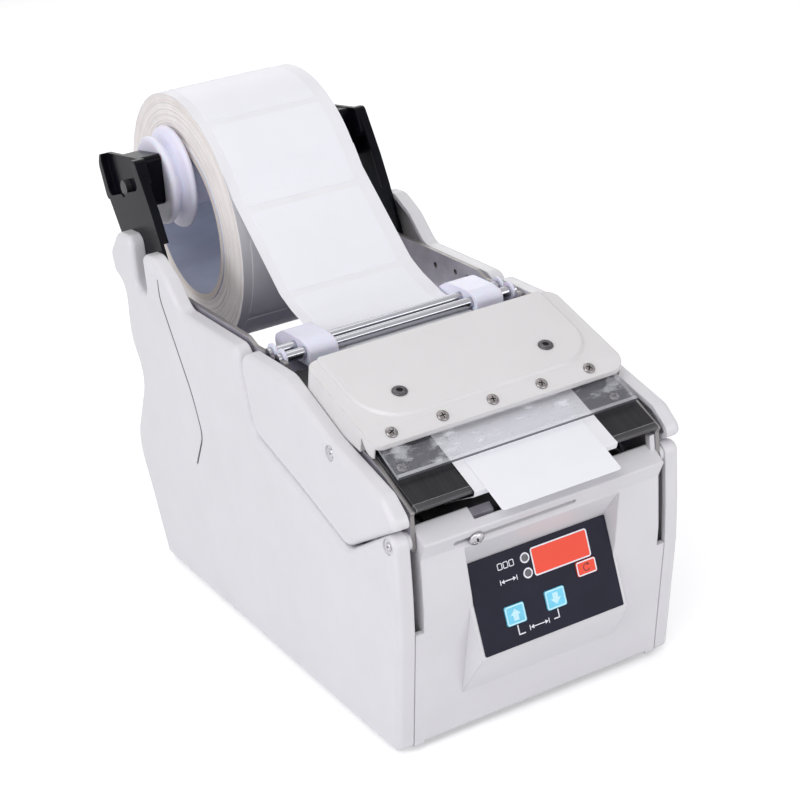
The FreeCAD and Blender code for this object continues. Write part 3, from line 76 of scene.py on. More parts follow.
def area_light(name, place, target, size, watts, colour=(1, 1, 1)):
    data = bpy.data.lights.new(name, "AREA")
    data.shape = "RECTANGLE"
    data.size, data.size_y = size
    data.energy = watts
    data.color = colour
    lamp = bpy.data.objects.new(name, data)
    bpy.context.scene.collection.objects.link(lamp)
    lamp.location = place
    lamp.rotation_euler = (Vector(target) - Vector(place)).to_track_quat("-Z", "Y").to_euler()


def seen_directly(tree):
    """1 for rays from the camera, mirrors and glass, 0 for diffuse light that reaches the object."""
    path = tree.nodes.new("ShaderNodeLightPath")
    mirror = tree.nodes.new("ShaderNodeMath")
    mirror.operation = "MAXIMUM"
    glass = tree.nodes.new("ShaderNodeMath")
    glass.operation = "MAXIMUM"
    tree.links.new(path.outputs["Is Camera Ray"], mirror.inputs[0])
    tree.links.new(path.outputs["Is Glossy Ray"], mirror.inputs[1])
    tree.links.new(mirror.outputs[0], glass.inputs[0])
    tree.links.new(path.outputs["Is Transmission Ray"], glass.inputs[1])
    return glass.outputs[0]


def make_studio():
    scene = bpy.context.scene
    scene.view_settings.view_transform = "Standard"
    world = bpy.data.worlds.new("studio")
    scene.world = world
    world.use_nodes = True
    tree = world.node_tree
    background = tree.nodes["Background"]
    background.inputs["Color"].default_value = (1, 1, 1, 1)
    lift = tree.nodes.new("ShaderNodeMath")
    lift.operation = "MULTIPLY_ADD"
    lift.inputs[1].default_value = 0.60
    lift.inputs[2].default_value = 0.40
    tree.links.new(seen_directly(tree), lift.inputs[0])
    tree.links.new(lift.outputs[0], background.inputs["Strength"])
    middle = (0.0, 0.0, 0.1)
    area_light("key", (-0.9, -0.9, 1.4), middle, (0.9, 0.9), 9.0)
    area_light("side", (-1.6, -0.2, 0.6), middle, (1.0, 0.8), 8.0, (0.93, 0.94, 1.0))
    area_light("front", (0.5, -1.6, 0.5), middle, (1.2, 0.8), 8.0, (0.97, 0.97, 1.0))
    area_light("top", (0.1, 0.4, 1.7), middle, (1.4, 1.0), 4.5)
    area_light("rear", (0.5, 1.5, 0.9), middle, (1.0, 0.7), 4.0)


def make_floor():
    mesh = bpy.data.meshes.new("floor")
    form = bmesh.new()
    bmesh.ops.create_grid(form, x_segments=1, y_segments=1, size=6.0)
    form.to_mesh(mesh)
    form.free()
    floor = bpy.data.objects.new("floor", mesh)
    bpy.context.scene.collection.objects.link(floor)
    material, tree, shader = new_shader("floor")
    shader.inputs["Base Color"].default_value = (0.86, 0.86, 0.87, 1)
    shader.inputs["Roughness"].default_value = 0.9
    shader.inputs["Emission Color"].default_value = (1, 1, 1, 1)
    glow = tree.nodes.new("ShaderNodeMath")
    glow.operation = "MULTIPLY"
    glow.inputs[1].default_value = 0.36
    tree.links.new(seen_directly(tree), glow.inputs[0])
    tree.links.new(glow.outputs[0], shader.inputs["Emission Strength"])
    mesh.materials.append(material)


# ------------------------------------------------------------------ finishes
def maths(tree, operation, a, b=0.0, c=0.0, clamp=False):
    node = tree.nodes.new("ShaderNodeMath")
    node.operation = operation
    node.use_clamp = clamp
    for socket, value in zip(node.inputs, (a, b, c)):
        if isinstance(value, bpy.types.NodeSocket):
            tree.links.new(value, socket)
        else:
            socket.default_value = value
    return node.outputs[0]


def place_of(tree, stretch=(1.0, 1.0, 1.0)):
    """The surface point in the object's own coordinates, stretched along its axes."""
    source = tree.nodes.new("ShaderNodeTexCoord")
    mapping = tree.nodes.new("ShaderNodeMapping")
    mapping.inputs["Scale"].default_value = stretch
    tree.links.new(source.outputs["Object"], mapping.inputs["Vector"])
    return mapping.outputs[0]


def noise(tree, place, scale, detail=3.0):
    """Noise with about that many features per metre, spread about 0.5."""
    texture = tree.nodes.new("ShaderNodeTexNoise")
    texture.inputs["Scale"].default_value = scale
    texture.inputs["Detail"].default_value = detail
    tree.links.new(place, texture.inputs["Vector"])
    return texture.outputs["Fac"]


def blend_colours(tree, factor, low, high):
    mix = tree.nodes.new("ShaderNodeMix")
    mix.data_type = "RGBA"
    tree.links.new(factor, mix.inputs["Factor"])
    for socket, value in ((mix.inputs[6], low), (mix.inputs[7], high)):
        if isinstance(value, bpy.types.NodeSocket):
            tree.links.new(value, socket)
        else:
            socket.default_value = (*value, 1.0)
    return mix.outputs[2]


def soft_normal(tree, radius):
    """Normal that rolls over the edges, as on a part with broken corners."""
    bevel = tree.nodes.new("ShaderNodeBevel")
    bevel.samples = 4
    bevel.inputs["Radius"].default_value = radius * MM
    return bevel.outputs[0]


def edge_mask(tree, radius, gain):
    """1 along sharp edges, 0 on flat faces."""
    surface = tree.nodes.new("ShaderNodeNewGeometry")
    dot = tree.nodes.new("ShaderNodeVectorMath")
    dot.operation = "DOT_PRODUCT"
    tree.links.new(soft_normal(tree, radius), dot.inputs[0])
    tree.links.new(surface.outputs["Normal"], dot.inputs[1])
    away = maths(tree, "SUBTRACT", 1.0, dot.outputs["Value"])
    return maths(tree, "MULTIPLY", away, gain, clamp=True)


def facing_x(tree, low, high):
    """0 to 1 as a face turns towards the x axis: the paper core's cut ends have their own tone, and the frame
    plates' edges take a painted shade.
    """
    surface = tree.nodes.new("ShaderNodeNewGeometry")
    split = tree.nodes.new("ShaderNodeSeparateXYZ")
    tree.links.new(surface.outputs["True Normal"], split.inputs[0])
    away = maths(tree, "SUBTRACT", maths(tree, "ABSOLUTE", split.outputs["X"]), low)
    return maths(tree, "DIVIDE", away, high - low, clamp=True)


def new_shader(name):
    material = bpy.data.materials.new(name)
    material.use_nodes = True
    return material, material.node_tree, material.node_tree.nodes["Principled BSDF"]


def finish(name, colour, roughness, drift=0.04, blotch=35.0, specks=0.35, grain=2200.0, relief=0.02,
           rough_drift=0.07, soft=0.4, worn=None, wear=6.0, stretch=(1.0, 1.0, 1.0), ends=None, edges=None,
           **sockets):
    """A surface whose colour and gloss drift in broad blotches and fine specks, with a fine relief in mm.

    worn is the colour of rubbed edges, ends that of faces square to x, and edges, a painted shade, that of
    all the others."""
    material, tree, shader = new_shader(name)
    place = place_of(tree, stretch)
    broad = noise(tree, place, blotch, 4.0)
    fine = noise(tree, place, grain, 2.0)
    spread = maths(tree, "MULTIPLY_ADD", maths(tree, "SUBTRACT", broad, 0.5), 2.2, 0.5)
    spread = maths(tree, "MULTIPLY_ADD", maths(tree, "SUBTRACT", fine, 0.5), specks, spread, clamp=True)
    low = tuple(c * (1.0 - drift) for c in colour)
    high = tuple(min(1.0, c * (1.0 + drift)) for c in colour)
    shade = blend_colours(tree, spread, low, high)
    if worn is not None:
        patchy = maths(tree, "MULTIPLY", edge_mask(tree, 0.35, wear), noise(tree, place, 260.0, 5.0),
                       clamp=True)
        shade = blend_colours(tree, patchy, shade, worn)
    if ends is not None:
        shade = blend_colours(tree, facing_x(tree, 0.80, 0.95), shade, ends)
    # edges is a painted shade on the faces that don't face x.
    if edges is not None:
        shade = blend_colours(tree, facing_x(tree, 0.55, 0.85), edges, shade)
    tree.links.new(shade, shader.inputs["Base Color"])
    gloss = maths(tree, "MULTIPLY_ADD", maths(tree, "SUBTRACT", noise(tree, place, blotch * 2.7, 5.0), 0.5),
                  rough_drift * 2.0, roughness, clamp=True)
    tree.links.new(gloss, shader.inputs["Roughness"])
    bump = tree.nodes.new("ShaderNodeBump")
    bump.inputs["Strength"].default_value = 1.0
    bump.inputs["Distance"].default_value = relief * MM
    tree.links.new(fine, bump.inputs["Height"])
    if soft:
        tree.links.new(soft_normal(tree, soft), bump.inputs["Normal"])
    tree.links.new(bump.outputs[0], shader.inputs["Normal"])
    for socket, value in sockets.items():
        shader.inputs[socket.replace("_", " ")].default_value = value
    return material


def ringed(name, dark, light, centre, turn, roughness):
    """Edges of wound layers: rings of tone about the roll's axis, with soft blotches across them."""
    material, tree, shader = new_shader(name)
    place = place_of(tree)
    split = tree.nodes.new("ShaderNodeSeparateXYZ")
    tree.links.new(place, split.inputs[0])
    across = maths(tree, "SUBTRACT", split.outputs["Y"], centre[0])
    up = maths(tree, "SUBTRACT", split.outputs["Z"], centre[1])
    radius = maths(tree, "SQRT", maths(tree, "MULTIPLY_ADD", across, across, maths(tree, "MULTIPLY", up, up)))
    layer = tree.nodes.new("ShaderNodeTexNoise")
    layer.noise_dimensions = "1D"
    layer.inputs["Scale"].default_value = 1.0 / (turn * MM)
    layer.inputs["Detail"].default_value = 2.0
    tree.links.new(radius, layer.inputs["W"])
    blotch = noise(tree, place, 90.0, 4.0)
    spread = maths(tree, "MULTIPLY_ADD", maths(tree, "SUBTRACT", layer.outputs["Fac"], 0.5), 1.9, 0.5)
    spread = maths(tree, "MULTIPLY_ADD", maths(tree, "SUBTRACT", blotch, 0.5), 0.9, spread, clamp=True)
    tree.links.new(blend_colours(tree, spread, dark, light), shader.inputs["Base Color"])
    shader.inputs["Roughness"].default_value = roughness
    bump = tree.nodes.new("ShaderNodeBump")
    bump.inputs["Distance"].default_value = 0.06 * MM
    tree.links.new(layer.outputs["Fac"], bump.inputs["Height"])
    tree.links.new(bump.outputs[0], shader.inputs["Normal"])
    return material


def clear_plastic(name, reflection_grey):
    """Clear sheet that shows by its gloss, by a grey painted reflection laid on more at grazing angles, and
    by the finger smudges and fine scratches on it.
    """
    material, tree, shader = new_shader(name)
    smudge = noise(tree, place_of(tree, (0.6, 1.0, 1.0)), 150.0, 8.0)
    scratch = noise(tree, place_of(tree, (0.06, 1.0, 1.0)), 900.0, 2.0)
    cloud = maths(tree, "MULTIPLY", maths(tree, "SUBTRACT", smudge, 0.55), 7.0, clamp=True)
    lines = maths(tree, "MULTIPLY", maths(tree, "SUBTRACT", scratch, 0.66), 7.0, clamp=True)
    marks = maths(tree, "MAXIMUM", cloud, lines)
    tree.links.new(blend_colours(tree, marks, reflection_grey, (0.86, 0.87, 0.92)), shader.inputs["Base Color"])
    tree.links.new(maths(tree, "MULTIPLY_ADD", marks, 0.22, 0.06), shader.inputs["Roughness"])
    # Painted reflection: the grey covers more of the sheet as it turns away from the view.
    rim = tree.nodes.new("ShaderNodeLayerWeight")
    rim.inputs["Blend"].default_value = 0.35
    cover = maths(tree, "MULTIPLY_ADD", rim.outputs["Fresnel"], 0.26, 0.05)
    tree.links.new(maths(tree, "MULTIPLY_ADD", marks, 0.34, cover, clamp=True), shader.inputs["Alpha"])
    shader.inputs["IOR"].default_value = 1.49
    return material


ROLL_CENTRE = (105.0, 173.0)         # y and z of the roll's axis, mm

SHELL = finish("shell", (0.695, 0.685, 0.71), 0.46, drift=0.022, relief=0.010, soft=0.8, Coat_Weight=0.22,
               Coat_Roughness=0.16)
SHELL_LID = finish("shell_lid", (0.70, 0.685, 0.69), 0.42, drift=0.022, relief=0.010, soft=0.8,
                   Coat_Weight=0.22, Coat_Roughness=0.16)
ZINC = finish("zinc", (0.52, 0.50, 0.57), 0.40, drift=0.13, blotch=120.0, specks=0.8, grain=900.0,
              relief=0.01,
              rough_drift=0.16, Metallic=0.7)
# Its edges are painted dark: painted shade of the slots the plates' edges stand in.
FRAME_PLATE = finish("frame_plate", (0.54, 0.52, 0.59), 0.42, drift=0.13, blotch=120.0, specks=0.8,
                     grain=900.0,
                     relief=0.01, rough_drift=0.16, edges=(0.27, 0.255, 0.255), Metallic=0.6)
# Darker than the zinc parts: painted shade of the inside of the machine.
DECK = finish("deck", (0.25, 0.24, 0.29), 0.52, drift=0.16, blotch=100.0, specks=0.8, grain=900.0,
              relief=0.01,
              rough_drift=0.12, Metallic=0.25)
DULL_STEEL = finish("dull_steel", (0.26, 0.25, 0.28), 0.45, drift=0.2, blotch=160.0, relief=0.01,
                    Metallic=0.5)
DARK_PLATE = finish("dark_plate", (0.014, 0.0135, 0.017), 0.42, drift=0.35, blotch=90.0, specks=1.4,
                    grain=700.0,
                    relief=0.02, rough_drift=0.2, worn=(0.45, 0.45, 0.50), wear=9.0, stretch=(5.0, 0.4, 0.6),
                    Specular_IOR_Level=0.2)
WORN_EDGE = finish("worn_edge", (0.03, 0.029, 0.034), 0.36, drift=0.3, blotch=200.0, relief=0.008,
                   worn=(0.90, 0.90, 0.93), wear=30.0, stretch=(0.2, 1.0, 1.0), Metallic=0.3)
CHROME = finish("chrome", (0.40, 0.40, 0.43), 0.16, drift=0.05, blotch=60.0, relief=0.002, soft=0.0,
                rough_drift=0.04, stretch=(0.2, 1.0, 1.0), Metallic=1.0)
STEEL = finish("steel", (0.60, 0.59, 0.60), 0.30, drift=0.10, blotch=150.0, relief=0.006, soft=0.2,
               Metallic=1.0)
SCREW = finish("screw", (0.24, 0.22, 0.22), 0.26, drift=0.22, blotch=500.0, relief=0.008, soft=0.15,
               worn=(0.85, 0.85, 0.88), wear=5.0, Metallic=1.0)
DARK_SCREW = finish("dark_screw", (0.085, 0.082, 0.088), 0.30, drift=0.3, blotch=500.0, relief=0.01,
                    soft=0.15,
                    worn=(0.5, 0.5, 0.54), wear=5.0, Metallic=0.8)
# Painted shade: near black on the faces inside the screws' drive recesses.
RECESS_SHADE = finish("recess", (0.012, 0.011, 0.012), 0.5, drift=0.2, blotch=400.0, relief=0.006, soft=0.0,
                Specular_IOR_Level=0.2)
PLATED_SCREW = finish("plated_screw", (0.52, 0.51, 0.53), 0.30, drift=0.12, blotch=400.0, relief=0.006,
                      soft=0.15,
                      Metallic=1.0)
NYLON = finish("nylon", (0.80, 0.79, 0.92), 0.38, drift=0.035, blotch=50.0, relief=0.012, soft=0.6,
               Subsurface_Weight=0.25, Subsurface_Scale=0.004)
RUBBER = finish("rubber", (0.022, 0.022, 0.024), 0.74, drift=0.25, grain=3000.0, relief=0.04, rough_drift=0.1)
PALE_RUBBER = finish("pale_rubber", (0.56, 0.55, 0.52), 0.62, drift=0.08, relief=0.03, rough_drift=0.08)
FILM = finish("film", (0.014, 0.014, 0.027), 0.50, drift=0.13, blotch=60.0, specks=1.4, grain=1500.0,
              relief=0.006,
              soft=0.15, Specular_IOR_Level=0.15)
KEY_BLUE = finish("key_blue", (0.17, 0.62, 0.84), 0.40, drift=0.10, blotch=160.0, relief=0.006, soft=0.5)
KEY_RED = finish("key_red", (0.90, 0.090, 0.05), 0.40, drift=0.05, blotch=160.0, relief=0.006, soft=0.5,
                 Specular_IOR_Level=0.25)
WINDOW_RED = finish("window_red", (0.90, 0.085, 0.045), 0.32, drift=0.035, blotch=70.0, relief=0.003,
                    soft=0.4,
                    Specular_IOR_Level=0.25)
LAMP = finish("lamp", (0.10, 0.095, 0.11), 0.14, drift=0.25, blotch=700.0, relief=0.004, soft=0.6,
              Coat_Weight=0.7, Coat_Roughness=0.06)
BLACK_PLASTIC = finish("black_plastic", (0.014, 0.014, 0.017), 0.42, drift=0.2, relief=0.03)
ARM_BLACK = finish("arm_black", (0.0040, 0.0040, 0.0070), 0.24, drift=0.25, blotch=70.0, relief=0.02,
                   soft=0.9,
                   Specular_IOR_Level=0.06)
CIRCUIT = finish("circuit", (0.02, 0.13, 0.055), 0.42, drift=0.3, blotch=180.0, specks=1.2, relief=0.02)
MOTOR_CAN = finish("motor_can", (0.045, 0.045, 0.05), 0.38, drift=0.2, blotch=120.0, relief=0.012,
                   Metallic=0.6,
                   worn=(0.4, 0.4, 0.43))
LINER = finish("liner", (0.815, 0.81, 0.845), 0.55, drift=0.02, blotch=45.0, relief=0.01, soft=0.0)
LABEL = finish("label", (0.845, 0.84, 0.89), 0.52, drift=0.012, blotch=60.0, grain=3000.0, relief=0.008,
               soft=0.0)
CORE = finish("core_board", (0.62, 0.66, 0.80), 0.70, drift=0.10, blotch=90.0, grain=1200.0, relief=0.06,
              soft=0.2,
              stretch=(0.3, 1.0, 1.0), ends=(0.70, 0.63, 0.58))
ROLL_EDGE = ringed("roll_edge", (0.76, 0.70, 0.67), (0.93, 0.90, 0.875), [c * MM for c in ROLL_CENTRE],
                   2.6, 0.72)
PRINT = finish("print_white", (0.83, 0.82, 0.88), 0.50, drift=0.05, blotch=400.0, relief=0.004, soft=0.0)
PRINT_PALE = finish("print_pale", (0.56, 0.86, 0.96), 0.42, drift=0.06, blotch=400.0, relief=0.004, soft=0.0)
PRINT_DARK = finish("print_dark", (0.22, 0.012, 0.014), 0.46, drift=0.15, blotch=400.0, relief=0.004,
                    soft=0.0)
# The grey is a painted reflection of the clear guard.
ACRYLIC = clear_plastic("acrylic", (0.36, 0.36, 0.40))
# Painted shade: the dark line on the clear guard's cut ends.
ACRYLIC_SHADE = finish("acrylic_painted_shade", (0.13, 0.13, 0.15), 0.25, drift=0.2, blotch=160.0, relief=0.01,
                      soft=0.1,
                      stretch=(0.3, 1.0, 1.0))
# Painted highlight: the bright look of the clear guard's sides and of a band at its front edge.
ACRYLIC_HIGHLIGHT = finish("acrylic_painted_highlight", (0.72, 0.72, 0.77), 0.22, drift=0.14, blotch=160.0, relief=0.02,
                      soft=0.2,
                      stretch=(0.3, 1.0, 1.0), Coat_Weight=0.4, Coat_Roughness=0.1, Alpha=0.42)
# Painted shade: the dark of the side covers' styling grooves.
GROOVE_SHADE = finish("groove_shade", (0.045, 0.045, 0.050), 0.6, drift=0.2, blotch=90.0, relief=0.01,
                      soft=0.0)

FINISHES = {
    "base_plate": ZINC, "left_frame_plate": FRAME_PLATE, "right_frame_plate": FRAME_PLATE, "paper_deck": DECK,
    "pinch_brackets": ZINC, "sensor_carriage": DULL_STEEL, "rubber_feet": RUBBER,
    "left_side_cover": SHELL, "right_side_cover": SHELL, "left_shoulder_cover": SHELL,
    "right_shoulder_cover": SHELL, "front_panel": SHELL, "rear_panel": SHELL, "top_cover": SHELL_LID,
    "peel_plate": DARK_PLATE, "peel_edge": WORN_EDGE, "guide_rods": CHROME, "roll_axle": BLACK_PLASTIC,
    "pinch_shaft": STEEL, "drive_shaft": STEEL, "motor_shaft": STEEL, "motor_mounts": STEEL,
    "panel_hinge_pins": STEEL, "pinch_roller": RUBBER, "drive_roller": PALE_RUBBER, "drive_bushes": NYLON,
    "drive_pulley": ZINC, "motor_pulley": ZINC, "drive_belt": RUBBER, "motor": MOTOR_CAN,
    "left_edge_guide": NYLON, "right_edge_guide": NYLON,
    "rod_blocks": NYLON, "left_arm": ARM_BLACK, "right_arm": ARM_BLACK, "liner_return": LINER,
    "paper_core": CORE, "control_board": CIRCUIT, "keypad_board": CIRCUIT,
    "display_window": WINDOW_RED, "indicator_lamps": LAMP, "reset_key": KEY_RED, "length_up_key": KEY_BLUE,
    "length_down_key": KEY_BLUE, "switch_bezel": BLACK_PLASTIC, "power_rocker": BLACK_PLASTIC,
    "dc_inlet": BLACK_PLASTIC,
}


def dress_nodes():
    for name, look in FINISHES.items():
        data = nodes[name].data
        if data.materials:
            for i in range(len(data.materials)):
                data.materials[i] = look
        else:
            data.materials.append(look)


# ------------------------------------------------------------------ making pieces
def piece(name, verts, faces, look, body, smooth=False):
    """A mesh piece from vertices in mm that rides on a CAD body."""
    mesh = bpy.data.meshes.new(name)
    mesh.from_pydata([[c * MM for c in v] for v in verts], [], faces)
    form = bmesh.new()
    form.from_mesh(mesh)
    bmesh.ops.recalc_face_normals(form, faces=form.faces)
    form.to_mesh(mesh)
    form.free()
    mesh.materials.append(look)
    if smooth:
        mesh.shade_smooth()
    made = bpy.data.objects.new(name, mesh)
    bpy.context.scene.collection.objects.link(made)
    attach(made, body)
    return made


def rounded(points):
    """Line through (y, z[, radius]) points, with each corner turned by an arc in small steps."""
    line = [Vector(points[0][:2])]
    for before, corner, after in zip(points, points[1:], points[2:]):
        here = Vector(corner[:2])
        back = (Vector(before[:2]) - here).normalized()
        ahead = (Vector(after[:2]) - here).normalized()
        half = math.acos(max(-1.0, min(1.0, back.dot(ahead)))) / 2.0
        if len(corner) < 3 or half > 1.56:
            line.append(here)
            continue
        reach = corner[2] / math.tan(half)
        centre = here + (back + ahead).normalized() * (corner[2] / math.sin(half))
        first = here + back * reach - centre
        last = here + ahead * reach - centre
        turn = math.atan2(first.x * last.y - first.y * last.x, first.dot(last))
        for i in range(13):
            angle = turn * i / 12
            line.append(centre + Matrix.Rotation(angle, 2) @ first)
    line.append(Vector(points[-1][:2]))
    return line


class Track:
    """A line in the y, z plane that can be read by the length run along it."""

    def __init__(self, line):
        self.line = line
        self.runs = [0.0]
        for a, b in zip(line, line[1:]):
            self.runs.append(self.runs[-1] + (b - a).length)
        self.length = self.runs[-1]

    def at(self, run):
        """Point and outward normal a length along."""
        run = max(0.0, min(self.length, run))
        i = int(np.searchsorted(self.runs, run, side="right")) - 1
        i = max(0, min(i, len(self.line) - 2))
        a, b = self.line[i], self.line[i + 1]
        along = (b - a).normalized()
        return a + along * (run - self.runs[i]), Vector((along.y, -along.x))


class Wrap:
    """The roll's outer turn: length run along it is counted back from where the web leaves it."""

    def __init__(self, centre, radius, leave):
        self.centre = Vector(centre)
        self.radius = radius
        self.leave = leave

    def at(self, run):
        angle = self.leave + run / self.radius
        out = Vector((math.cos(angle), math.sin(angle)))
        return self.centre + out * self.radius, out


def patch(track, start, end, x0, x1, top, thick, corner=(0.0, 0.0), step=1.0, lift=None):
    """Thin sheet on a track from one run to another; corner gives the rounding at its start and end."""
    runs = set(np.linspace(start, end, max(2, int((end - start) / step))).tolist())
    for i in range(9):
        share = 1.0 - math.cos(math.pi / 2 * i / 8)
        if corner[0]:
            runs.add(start + corner[0] * share)
        if corner[1]:
            runs.add(end - corner[1] * share)
    verts = []
    for run in sorted(runs):
        inset = 0.0
        for radius, away in ((corner[0], run - start), (corner[1], end - run)):
            if radius and away < radius:
                inset = max(inset, radius - math.sqrt(max(0.0, radius ** 2 - (radius - away) ** 2)))
        point, out = track.at(run)
        rise = lift(run) if lift else 0.0
        for height in (top + rise, top + rise - thick):
            y, z = point + out * height
            verts += [(x0 + inset, y, z), (x1 - inset, y, z)]
    rows = len(verts) // 4
    faces = [(0, 1, 3, 2), (4 * rows - 4, 4 * rows - 3, 4 * rows - 1, 4 * rows - 2)]
    for i in range(rows - 1):
        a, b = 4 * i, 4 * i + 4
        faces += [(a, a + 1, b + 1, b), (a + 2, a + 3, b + 3, b + 2),
                  (a, b, b + 2, a + 2), (a + 1, b + 1, b + 3, a + 3)]
    return verts, faces


def gather(shapes):
    """Several (verts, faces) as one."""
    verts, faces = [], []
    for some_verts, some_faces in shapes:
        base = len(verts)
        verts += some_verts
        faces += [tuple(base + i for i in face) for face in some_faces]
    return verts, faces


# ------------------------------------------------------------------ web, labels and roll
ROLL_RADIUS = 62.68
CORE_RADIUS = 41.1
LEAVE = math.radians(148.0)
LINER_X = (-32.5, 36.5)
LABEL_X = (-27.5, 29.7)
LABEL_LONG = 44.0
LABEL_GAP = 3.7
LABEL_CORNER = 1.3
LABEL_THICK = 0.2
LINER_THICK = 0.18
LINER_BELOW = 0.2          # top of the liner, under the labels' top
FIRST_GAP = 19.9           # along the web from where it leaves the roll
SECOND_GAP = FIRST_GAP + LABEL_LONG + LABEL_GAP
WEB = [(51.19, 206.60), (44.76, 196.4, 3), (5.56, 159.8, 14), (-4.74, 154.9, 14), (-20.54, 150.0, 20),
       (-35.34, 148.0, 2.8), (-45.14, 148.0, 2.8), (-121.74, 134.4, 30), (-154.62, 120.04)]
PEEL_EDGE = (-154.335, 119.4)
PEEL = math.radians(23.6)
HELD = 29.7                # of the dispensed label, behind the peel edge
OUT = 14.3                 # and past it
DROOP = math.radians(4.0)
READY_ABOVE = 0.86         # top of the dispensed label, over the peel edge
SETTLE_DROP = 0.24         # 0.34 touched the roll when it turned
SETTLE_RUN = 8.0
RING_COUNT = 47            # of the roll's end faces
END_INSET = 0.72           # deepest a layer stands back from the liner's edge
END_RAGGED = 0.30
END_BULGE = 0.45
BULGE_FROM = 56.0          # radius


def settle(run):
    """Drop that lays the start of the web down on the roll it leaves, mm."""
    return -SETTLE_DROP * max(0.0, 1.0 - run / SETTLE_RUN) ** 2


def make_web():
    track = Track(rounded(WEB))
    liner = patch(track, 0.0, track.length, *LINER_X, -LINER_BELOW, LINER_THICK, lift=settle)
    piece("web_liner", *liner, LINER, "frame")
    half = LABEL_GAP / 2
    third = SECOND_GAP + LABEL_LONG + LABEL_GAP
    fourth = third + LABEL_LONG + LABEL_GAP
    last = track.length - HELD - LABEL_GAP
    spans = [(0.0, FIRST_GAP - half, (0.0, LABEL_CORNER)),
             (FIRST_GAP + half, SECOND_GAP - half, (LABEL_CORNER, LABEL_CORNER)),
             (SECOND_GAP + half, third - half, (LABEL_CORNER, LABEL_CORNER)),
             (third + half, fourth - half, (LABEL_CORNER, LABEL_CORNER)),
             (fourth + half, last, (LABEL_CORNER, LABEL_CORNER))]
    labels = gather([patch(track, a, b, *LABEL_X, 0.0, LABEL_THICK, corner, lift=settle)
                     for a, b, corner in spans])
    made = piece("web_labels", *labels, LABEL, "frame")
    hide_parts("label_web")


def make_dispensed_label():
    """The label held out past the peel edge, on the liner behind it, with its free end drooping."""
    steps = 24
    line = [Vector((PEEL_EDGE[0] + (HELD - 3.0) * math.cos(PEEL),
                    PEEL_EDGE[1] + (HELD - 3.0) * math.sin(PEEL)))]
    line.insert(0, line[0] + Vector((math.cos(PEEL), math.sin(PEEL))) * 3.0)
    line.append(Vector(PEEL_EDGE))
    for i in range(steps):
        share = (i + 1) / steps
        angle = PEEL + DROOP * share
        line.append(line[-1] - Vector((math.cos(angle), math.sin(angle))) * (OUT / steps))
    track = Track(line)
    sheet = patch(track, 0.0, track.length, *LABEL_X, READY_ABOVE, LABEL_THICK,
                  (LABEL_CORNER, LABEL_CORNER), 0.6)
    made = piece("label_ready", *sheet, LABEL, "frame")
    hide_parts("dispensed_label")


def side_of_roll(x, outward, angles, rings, chance):
    """Uneven ends of the wound layers: each ring stands a little in or out, and the outer turns bulge."""
    verts = []
    for radius in rings:
        ragged = chance.uniform(0.0, END_RAGGED)
        phase = chance.uniform(0.0, math.tau)
        bulge = END_BULGE * max(0.0, (radius - BULGE_FROM) / (ROLL_RADIUS - BULGE_FROM)) ** 2
        for angle in angles:
            wave = 0.07 * math.sin(2.0 * angle + phase) + 0.05 * math.sin(5.0 * angle + 1.7 * phase)
            inset = max(0.0, END_INSET - bulge - ragged + wave)
            verts.append((x - outward * inset, ROLL_CENTRE[0] + radius * math.cos(angle),
                          ROLL_CENTRE[1] + radius * math.sin(angle)))
    return verts


def make_roll():
    chance = random.Random(7)
    around = 240
    angles = [math.tau * i / around for i in range(around)]
    rings = [CORE_RADIUS + (ROLL_RADIUS - 0.42 - CORE_RADIUS) * i / (RING_COUNT - 1)
             for i in range(RING_COUNT)]
    verts, faces = [], []
    ends = []
    for x, outward in ((LINER_X[0], -1.0), (LINER_X[1], 1.0)):
        base = len(verts)
        verts += side_of_roll(x, outward, angles, rings, chance)
        ends.append(base)
        for i in range(len(rings) - 1):
            for j in range(around):
                k = (j + 1) % around
                faces.append((base + i * around + j, base + i * around + k,
                              base + (i + 1) * around + k, base + (i + 1) * around + j))
    body = len(faces)
    last = (len(rings) - 1) * around
    for j in range(around):
        k = (j + 1) % around
        faces.append((ends[0] + last + j, ends[0] + last + k, ends[1] + last + k, ends[1] + last + j))
        faces.append((ends[0] + j, ends[1] + j, ends[1] + k, ends[0] + k))
    roll = piece("paper_layers", verts, faces, ROLL_EDGE, "roll")
    roll.data.materials.append(LINER)
    for face in roll.data.polygons[body:]:
        face.material_index = 1
        face.use_smooth = True
    wrap = Wrap(ROLL_CENTRE, ROLL_RADIUS - 0.22, LEAVE)
    turn = math.tau * wrap.radius
    piece("roll_liner", *patch(wrap, -turn, 0.0, *LINER_X, 0.0, LINER_THICK), LINER, "roll")
    half = LABEL_GAP / 2
    spans = [(FIRST_GAP - LABEL_LONG - LABEL_GAP + half, 0.0, (LABEL_CORNER, 0.0))]
    while spans[-1][0] > -turn:
        end = spans[-1][0] - LABEL_GAP
        start = max(-turn, end - LABEL_LONG)
        spans.append((start, end, (LABEL_CORNER if start > -turn else 0.0, LABEL_CORNER)))
        if start == -turn:
            break
    labels = gather([patch(wrap, a, b, *LABEL_X, LABEL_THICK, LABEL_THICK, corner)
                     for a, b, corner in spans if b - a > 3.0])
    made = piece("roll_labels", *labels, LABEL, "roll")
    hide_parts("label_roll")


# ------------------------------------------------------------------ fasteners
THREAD_STEP = 0.25         # from a thread's crest to its root, along the shank
# Faces of a head deeper than this share take the painted shade of the recess.
IN_RECESS = 0.3            # depth share from which a face is dark


def cross(u, v):
    """Depth share of a cross recess at a point, in shares of the head's radius."""
    arm, long = 0.13, 0.60
    inside = max(min(arm - abs(u), long - abs(v)), min(arm - abs(v), long - abs(u)))
    return max(0.0, min(1.0, inside / 0.07)) * max(0.35, 1.0 - math.hypot(u, v) * 0.9)


def hexagon(u, v):
    reach = max(abs(u * math.cos(a) + v * math.sin(a)) for a in (0.0, math.pi / 3, 2 * math.pi / 3))
    return max(0.0, min(1.0, (0.42 - reach) / 0.05))


